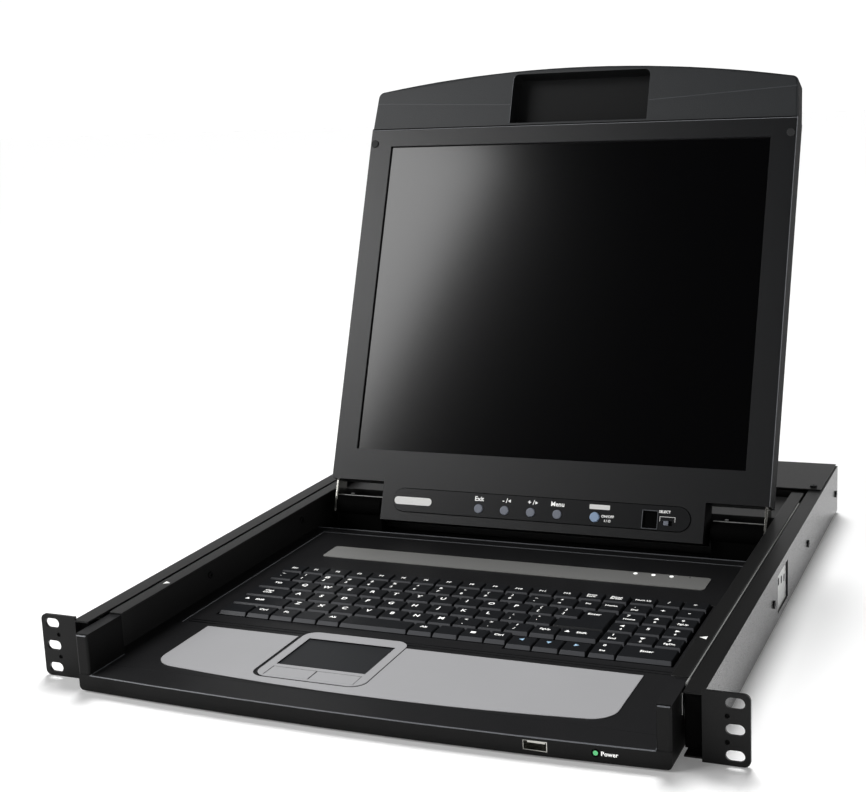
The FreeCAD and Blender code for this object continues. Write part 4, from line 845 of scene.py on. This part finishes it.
def set_strip():
    """The control strip with its labels, marks, domed buttons, port and switch."""
    rounded_copy("control_strip", STRIP_ABS, "screen", MOULD_ROUND, 3)
    flat_label("strip_joint", *STRIP_JOINT, 0.00002, 0.00008, 0.0103, DULL_BLACK)
    flat_label("strip_label", *STRIP_LABEL, STRIP_PRINT, 0.00012, 0.003, GLOWING_LABEL_FILM)
    marks = [words(f"button_word_{index}", text, BUTTON_WORD,
                   (FIRST_BUTTON + BUTTON_PITCH * index, WORD_ROW, STRIP_PRINT))
             for index, text in enumerate(("Exit", "- /", "+ /", "Menu"))]
    for index, right, turn in ((1, 0.0042, math.radians(90)), (2, 0.0044, math.radians(-90))):
        place = (FIRST_BUTTON + BUTTON_PITCH * index + right, WORD_ROW, STRIP_PRINT)
        marks.append(arrowhead(f"button_arrow_{index}", place, 0.0032, turn))
    for name, text, x, row in SMALL_WORDS:
        marks.append(words(name, text, SMALL_WORD, (x, row, STRIP_PRINT)))
    marks += frame_lines("mode_bracket", *MODE_BRACKET, 0.00025, INK, closed=False)
    on_screen(joined("strip_marks", marks), GLOWING_WHITE_INK)
    flat_label("power_label", *POWER_LABEL, STRIP_PRINT, 0.0001, 0.0006, GLOWING_LABEL_FILM)
    for index in range(1, 5):
        rounded_copy(f"menu_button_{index}", BUTTON_ABS, f"menu_button_{index}", BUTTON_ROUND, 4, 50)
    rounded_copy("power_button", POWER_ABS, "power_button", BUTTON_ROUND, 4, 50)
    rounded_copy("service_port", DULL_BLACK, "screen", FINE_ROUND)
    # The port's pale rim all round it: a painted highlight.
    rim = frame_lines("port_rim", *PORT_RIM, 0.0005, 0.0002, closed=True)
    on_screen(joined("port_rim", rim), EDGE_HIGHLIGHT_PAINT)
    rounded_copy("mode_switch", BUTTON_ABS, "mode_slider", FINE_ROUND)


def set_screen():
    """The whole screen with its dull sides, painted paler, and its two bumpers."""
    set_screen_edges(set_grip())
    set_display()
    set_strip()
    for name in ("screen_bezel", "screen_rear_cover"):
        # The side faces take the paler side finish: painted light.
        two_tone(rounded_copy(name, CASE_ABS, "screen", MOULD_ROUND, 3), SIDE_LIGHT_ABS,
                 lambda centre, normal: abs(normal.x) > 0.9)
    rounded_copy("screen_bumpers", BUMPER_RUBBER, "screen", MOULD_ROUND, 3)


# Drawer --------------------------------------------------------------------------------------------

DECK_TOP, DECK_HALF, DECK_REAR = -0.010, 0.1993, 0.328
LINE_HALF, LINE_WIDTH, LINE_REAR, LINE_FRONT = 0.187, 0.0008, 0.3155, 0.088
FRONT_LINES, FRONT_LINE_HALF = (0.0905, 0.0945), 0.183
PLATE_SHIFT = -0.003
TOUCH_LEFT, TOUCH_RIGHT, TOUCH_FRONT, TOUCH_REAR = -0.0805, -0.014, 0.033, 0.083


def bead(name, low, high, height=0.00035):
    """A fine raised line moulded on the deck."""
    piece = block(name, (*low, DECK_TOP - 0.0002), (*high, DECK_TOP + height))
    return bevel_edges(piece, lambda middle, way: middle.z > DECK_TOP, height * 0.7, 2)


def set_deck():
    """The deck with its moulded lines: a rim and a line round the keys in a pale finish that paints their
    highlights, and two in front of them.
    """
    rounded_copy("keyboard_deck", DECK_AND_LIT_TOP_ABS, "drawer", PANEL_ROUND, 3)
    lines = [bead("deck_rim", (0.001 - DECK_HALF, DECK_REAR - 0.0014),
                  (DECK_HALF - 0.001, DECK_REAR - 0.0006), 0.0005),
             bead("deck_line_rear", (-LINE_HALF, LINE_REAR - 0.0006), (LINE_HALF, LINE_REAR), 0.0003)]
    for side in (-1, 1):
        x = sorted((side * LINE_HALF, side * (LINE_HALF - LINE_WIDTH)))
        lines.append(bead(f"deck_line_side_{side}", (x[0], LINE_FRONT), (x[1], LINE_REAR - 0.0008)))
    front = [bead(f"front_line_{y}", (-FRONT_LINE_HALF, y), (FRONT_LINE_HALF, y + 0.0009), 0.0004)
             for y in FRONT_LINES]
    dress(joined("deck_front_lines", front), CASE_ABS, "drawer")
    # The rim and the lines round the keys are pale: painted highlights.
    dress(joined("deck_lines", lines), EDGE_HIGHLIGHT_PAINT, "drawer")


def set_palm_rest():
    """The silver plate, and the touchpad with a dark joint round its frame and the inner walls of the frame
    painted black as shade round its surface.
    """
    shifted(rounded_copy("palm_rest_plate", SILVER_PAINT, "drawer", 0.00025), (PLATE_SHIFT, 0, 0))
    low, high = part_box("touchpad_frame")

    def outer(middle, way):
        """The top edges round the outside, and not those of the openings."""
        across = min(middle.x - low[0], high[0] - middle.x)
        front, rear = middle.y - low[1], high[1] - middle.y
        near = min(across, rear) < 0.003 or front < 0.0022 or (across < 0.0075 and front < 0.003)
        return middle.z > high[2] - 0.0001 and near

    joint = edge_bead("touchpad_frame", "touchpad_joint", outer, 0.00042)
    dress(shifted(joint, (0, 0, -0.0008)), DULL_BLACK, "drawer")
    # The frame's walls round the surface are painted black: painted shade in the recess.
    two_tone(rounded_copy("touchpad_frame", SILVER_PAINT, "drawer", SHEET_ROUND, 3), DULL_BLACK,
             lambda centre, normal: abs(normal.z) < 0.5 and TOUCH_LEFT < centre.x < TOUCH_RIGHT
             and TOUCH_FRONT < centre.y < TOUCH_REAR)
    rounded_copy("touchpad_surface", PAD_FILM, "drawer", 0.0001)
    for side in ("left", "right"):
        rounded_copy(f"touchpad_button_{side}", SILVER_PAINT, f"touchpad_button_{side}", FINE_ROUND, 3)


POST_TOP, POST_TOP_EDGE, POST_OUTER, POST_FOOT = 0.0178, 0.0170, 0.2003, -0.0205
POST_INNER, LIP_FRONT, POST_FRONT = 0.1915, -0.0175, -0.0176
POINTER_OUT, POINTER_REAR, POINTER_RISE = 0.1958, 0.0857, 0.01963
BOW_TURN = math.radians(3.3)  # the lip's face is turned this far where the lamp's word stands


def set_front():
    """The bowed front moulding with its rounded posts, its top painted paler than its face, and pale beads
    along its lip, posts and feet that paint their highlights.
    """
    panel = merged_copy("front_panel", "front_panel_eased")
    bevel_edges(panel, lambda middle, way: middle.z > POST_TOP, 0.002, 4)
    bevel_edges(panel, lambda middle, way: abs(middle.x) > POST_OUTER and middle.z < POST_FOOT
                and abs(way.y) > 0.9, 0.003, 4)
    dress(soften(panel, MOULD_ROUND, 2, 30), FRONT_SHADE_ABS, "drawer", "front_panel")
    # Top faces in the paler deck ABS and the rest in the darker front ABS: painted light and shade on one
    # moulding.
    two_tone(panel, DECK_AND_LIT_TOP_ABS, lambda centre, normal: normal.z > 0.9)
    lip = edge_bead("front_panel", "lip_bead", lambda middle, way: abs(middle.z - DECK_TOP) < 0.0002
                    and middle.y < LIP_FRONT and abs(way.x) > 0.8 and abs(middle.x) < POST_INNER, 0.0004,
                    cut_at=POST_INNER)
    crown = edge_bead("front_panel", "post_bead", lambda middle, way: abs(middle.z - POST_TOP_EDGE) < 0.0002
                      and middle.y < POST_FRONT and abs(way.x) > 0.9, 0.0003)
    beads = [lip, crown]
    for side in (-1, 1):
        x = sorted((side * (POST_INNER - 0.0006), side * POST_INNER))
        foot = block(f"post_foot_{side}", (x[0], LIP_FRONT, DECK_TOP - 0.0002),
                     (x[1], 0.0215, DECK_TOP + 0.0003))
        beads.append(bevel_edges(foot, lambda middle, way: middle.z > DECK_TOP + 0.0002, 0.0002, 2))
    # Pale beads on the lip, the posts' tops and their feet: painted highlights.
    dress(joined("front_beads", beads), EDGE_HIGHLIGHT_PAINT, "drawer")


def set_lamp_and_pointers():
    """The word and the ring at the power lamp, and the white pointers on the tray's flanges."""
    low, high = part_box("power_lamp")
    name_word = words("power_lamp_word", "Power", 0.0038, (0, 0, 0))
    place = Matrix.Translation((high[0] + 0.0068, low[1] + 0.0002, low[2] + 0.0014))
    name_word.matrix_world = place @ Matrix.Rotation(BOW_TURN, 4, "Z") @ FACING
    dress(settle(name_word), GLOWING_WHITE_INK, "drawer")
    deselect()
    bpy.ops.mesh.primitive_torus_add(major_radius=0.0021, minor_radius=0.0005, major_segments=40,
                                     minor_segments=10, rotation=(math.pi / 2, 0, 0),
                                     location=((low[0] + high[0]) / 2, low[1], (low[2] + high[2]) / 2))
    ring = bpy.context.object
    ring.name = "lamp_ring"
    dress(even_shading(settle(ring)), DULL_BLACK, "drawer")
    pointers = [arrowhead(f"flange_pointer_{side}", (side * POINTER_OUT, POINTER_REAR, POINTER_RISE), 0.0062,
                          math.radians(90 * side), 0.00006) for side in (-1, 1)]
    dress(joined("flange_pointers", pointers), GLOWING_LABEL_FILM, "drawer")


# Zinc trim: a lip and a tab on each hinge casting, painted highlights of its edges, and the edge of the right
# runner.
HINGE_INNER, HINGE_OUTER, HINGE_TOP = 0.1435, 0.1845, 0.0149
RUNNER_INNER, RUNNER_TOP = 0.20085, 0.0190


def set_zinc_trim():
    """The bright lip and tab on each hinge casting, painted highlights of its edges, and the strip and the
    tip along the right runner.
    """
    pieces = []
    for side in (-1, 1):
        x = sorted((side * HINGE_INNER, side * HINGE_OUTER))
        # A bright lip and tab on each dull black casting: painted highlights of its edges.
        lip = block(f"hinge_lip_{side}", (x[0], 0.3462, HINGE_TOP), (x[1], 0.3472, HINGE_TOP + 0.0005))
        pieces.append(bevel_edges(lip, lambda middle, way: middle.z > HINGE_TOP + 0.0003, 0.0003, 2))
        tab = block(f"hinge_tab_{side}", (x[0] + 0.008, 0.3505, HINGE_TOP),
                    (x[0] + 0.011, 0.3530, HINGE_TOP + 0.0004))
        pieces.append(bevel_edges(tab, lambda middle, way: abs(way.z) > 0.9, 0.0008))
    tip = block("flange_tip", (RUNNER_INNER, 0.0145, 0.0150), (0.2024, 0.0215, RUNNER_TOP + 0.0004))
    pieces.append(bevel_edges(tip, lambda middle, way: middle.z > RUNNER_TOP, 0.0006))
    pieces.append(block("flange_end", (0.2012, 0.0040, 0.0035), (0.20165, 0.0046, 0.0165)))
    strip = block("flange_trim", (RUNNER_INNER, 0.019, 0.0165), (0.2019, 0.400, RUNNER_TOP))
    pieces.append(bevel_edges(strip, lambda middle, way: middle.z > RUNNER_TOP - 0.0005
                              and abs(way.y) > 0.9, 0.0005))
    dress(joined("hinge_lips", pieces), ZINC_TRIM_AND_HIGHLIGHTS, "drawer")


def set_tray():
    """The folded tray and cover, the indicator plate and the hinges."""
    set_zinc_trim()
    rounded_copy("drawer_tray", POWDER_COAT, "drawer", SHEET_ROUND)
    rounded_copy("drawer_rear_cover", POWDER_COAT, "drawer", SHEET_ROUND)
    rounded_copy("indicator_plate", GREY_PAINT, "drawer", 0.0002)
    for side in ("left", "right"):
        rounded_copy(f"hinge_base_{side}", DULL_BLACK, "drawer", MOULD_ROUND, 3)
        rounded_copy(f"hinge_arm_{side}", NICKEL_PLATE, "screen", SHEET_ROUND)


# Rails ---------------------------------------------------------------------------------------------

RAIL_FACE, EAR_REAR = 0.2144, 0.003
SLIDE_INNER, SLIDE_OUTER, SLIDE_HALF = 0.2024, 0.2133, 0.0168
PILOT_OUT, PILOT_RISE, PILOT_RADIUS = 0.228, 0.00794, 0.00145
HOLE_INNER, HOLE_OUTER, HOLE_WIDTH, HOLE_HEIGHT = 0.21345, 0.2136, 0.0035, 0.0055
FIRST_HOLE, FIRST_HOLE_RISE, HOLE_STEP, HOLE_DROP = 0.2390, 0.0035, 0.0110, 0.0020


def set_rails():
    """The rails in three tones, two of them painted by facing (a paler sheen on the outer sides, a darker
    shade on the front faces), the housing, the slides' end caps, and the rails' holes filled dark as painted
    shade.
    """
    for side in ("left", "right"):
        rail = rounded_copy(f"side_rail_{side}", POWDER_COAT, "chassis", SHEET_ROUND)
        # The outer sides take a paler coat as painted sheen, and the front faces a darker one as painted
        # shade.
        two_tone(rail, RAIL_SIDE_SHEEN_COAT, lambda centre, normal: abs(normal.x) > 0.9 and abs(centre.x) > RAIL_FACE
                 and centre.y > EAR_REAR)
        two_tone(rail, EAR_FACE_SHADE_COAT, lambda centre, normal: normal.y < -0.9)
    rounded_copy("rear_housing", POWDER_COAT, "chassis", PANEL_ROUND)
    rounded_copy("rear_housing_cover", POWDER_COAT, "chassis", SHEET_ROUND)
    caps, marks = [], []
    for side in (-1, 1):
        x = sorted((side * SLIDE_INNER, side * SLIDE_OUTER))
        # End stops on the slides. Their black over the slides' fronts also paints the shade there.
        cap = block(f"slide_cap_{side}", (x[0], 0.0045, -SLIDE_HALF), (x[1], 0.0138, SLIDE_HALF))
        caps.append(bevel_edges(cap, lambda middle, way: middle.y < 0.006, 0.0012))
        for rise in (-1, 1):
            marks.append(pin(f"pilot_plug_{side}_{rise}", PILOT_RADIUS, 0.0012,
                             (side * PILOT_OUT, 0.0012, rise * PILOT_RISE)))
        # Thin dark blocks inside the rails' holes: painted shade in the holes.
        x = sorted((side * HOLE_INNER, side * HOLE_OUTER))
        for step in range(3):
            y, z = FIRST_HOLE + HOLE_STEP * step, FIRST_HOLE_RISE - HOLE_DROP * step
            hole = block(f"slide_hole_{side}_{step}", (x[0], y, z), (x[1], y + HOLE_WIDTH, z + HOLE_HEIGHT))
            marks.append(bevel_edges(hole, lambda middle, way: abs(way.x) > 0.9, 0.0012))
    dress(joined("slide_caps", caps), DULL_BLACK, "drawer")
    dress(joined("rail_marks", marks), DULL_BLACK, "chassis")


CROSS_REACH, CROSS_HALF, CROSS_PROUD = 0.0014, 0.00028, 0.00003


def cross_heads(node_name, body, sideways):
    """Rounded screw heads, each with a flat dark cross, painted shade for the recess. A head on a side wall
    faces outwards or inwards.
    """
    cross_shades = []
    for index, (low, high) in enumerate(islands_of(node_name)):
        middle = [(a + b) / 2 for a, b in zip(low, high)]
        spans = [b - a for a, b in zip(low, high)]
        along = spans.index(min(spans))
        outward = sideways * middle[0] if along == 0 else 1
        face = (high if outward > 0 else low)[along]
        for long_way in (a for a in range(3) if a != along):
            near, far = list(middle), list(middle)
            for axis in range(3):
                half = CROSS_REACH if axis == long_way else CROSS_HALF
                near[axis], far[axis] = middle[axis] - half, middle[axis] + half
            near[along], far[along] = face - CROSS_PROUD, face + CROSS_PROUD
            # Each arm of the cross is a thin dark block on the head: painted shade in place of a cut recess.
            cross_shades.append(block(f"{node_name}_slot_{index}_{long_way}", near, far))
    dress(joined(node_name + "_crosses", cross_shades), DULL_BLACK, body)
    rounded_copy(node_name, BLACK_OXIDE, body, SHEET_ROUND, 2, 60)


place_camera()
light_studio()
lay_floor()
set_screen()
set_keyboard()
set_deck()
set_palm_rest()
set_front()
set_lamp_and_pointers()
set_tray()
set_rails()
cross_heads("frame_screws", "chassis", sideways=1)
cross_heads("tray_screws", "drawer", sideways=-1)
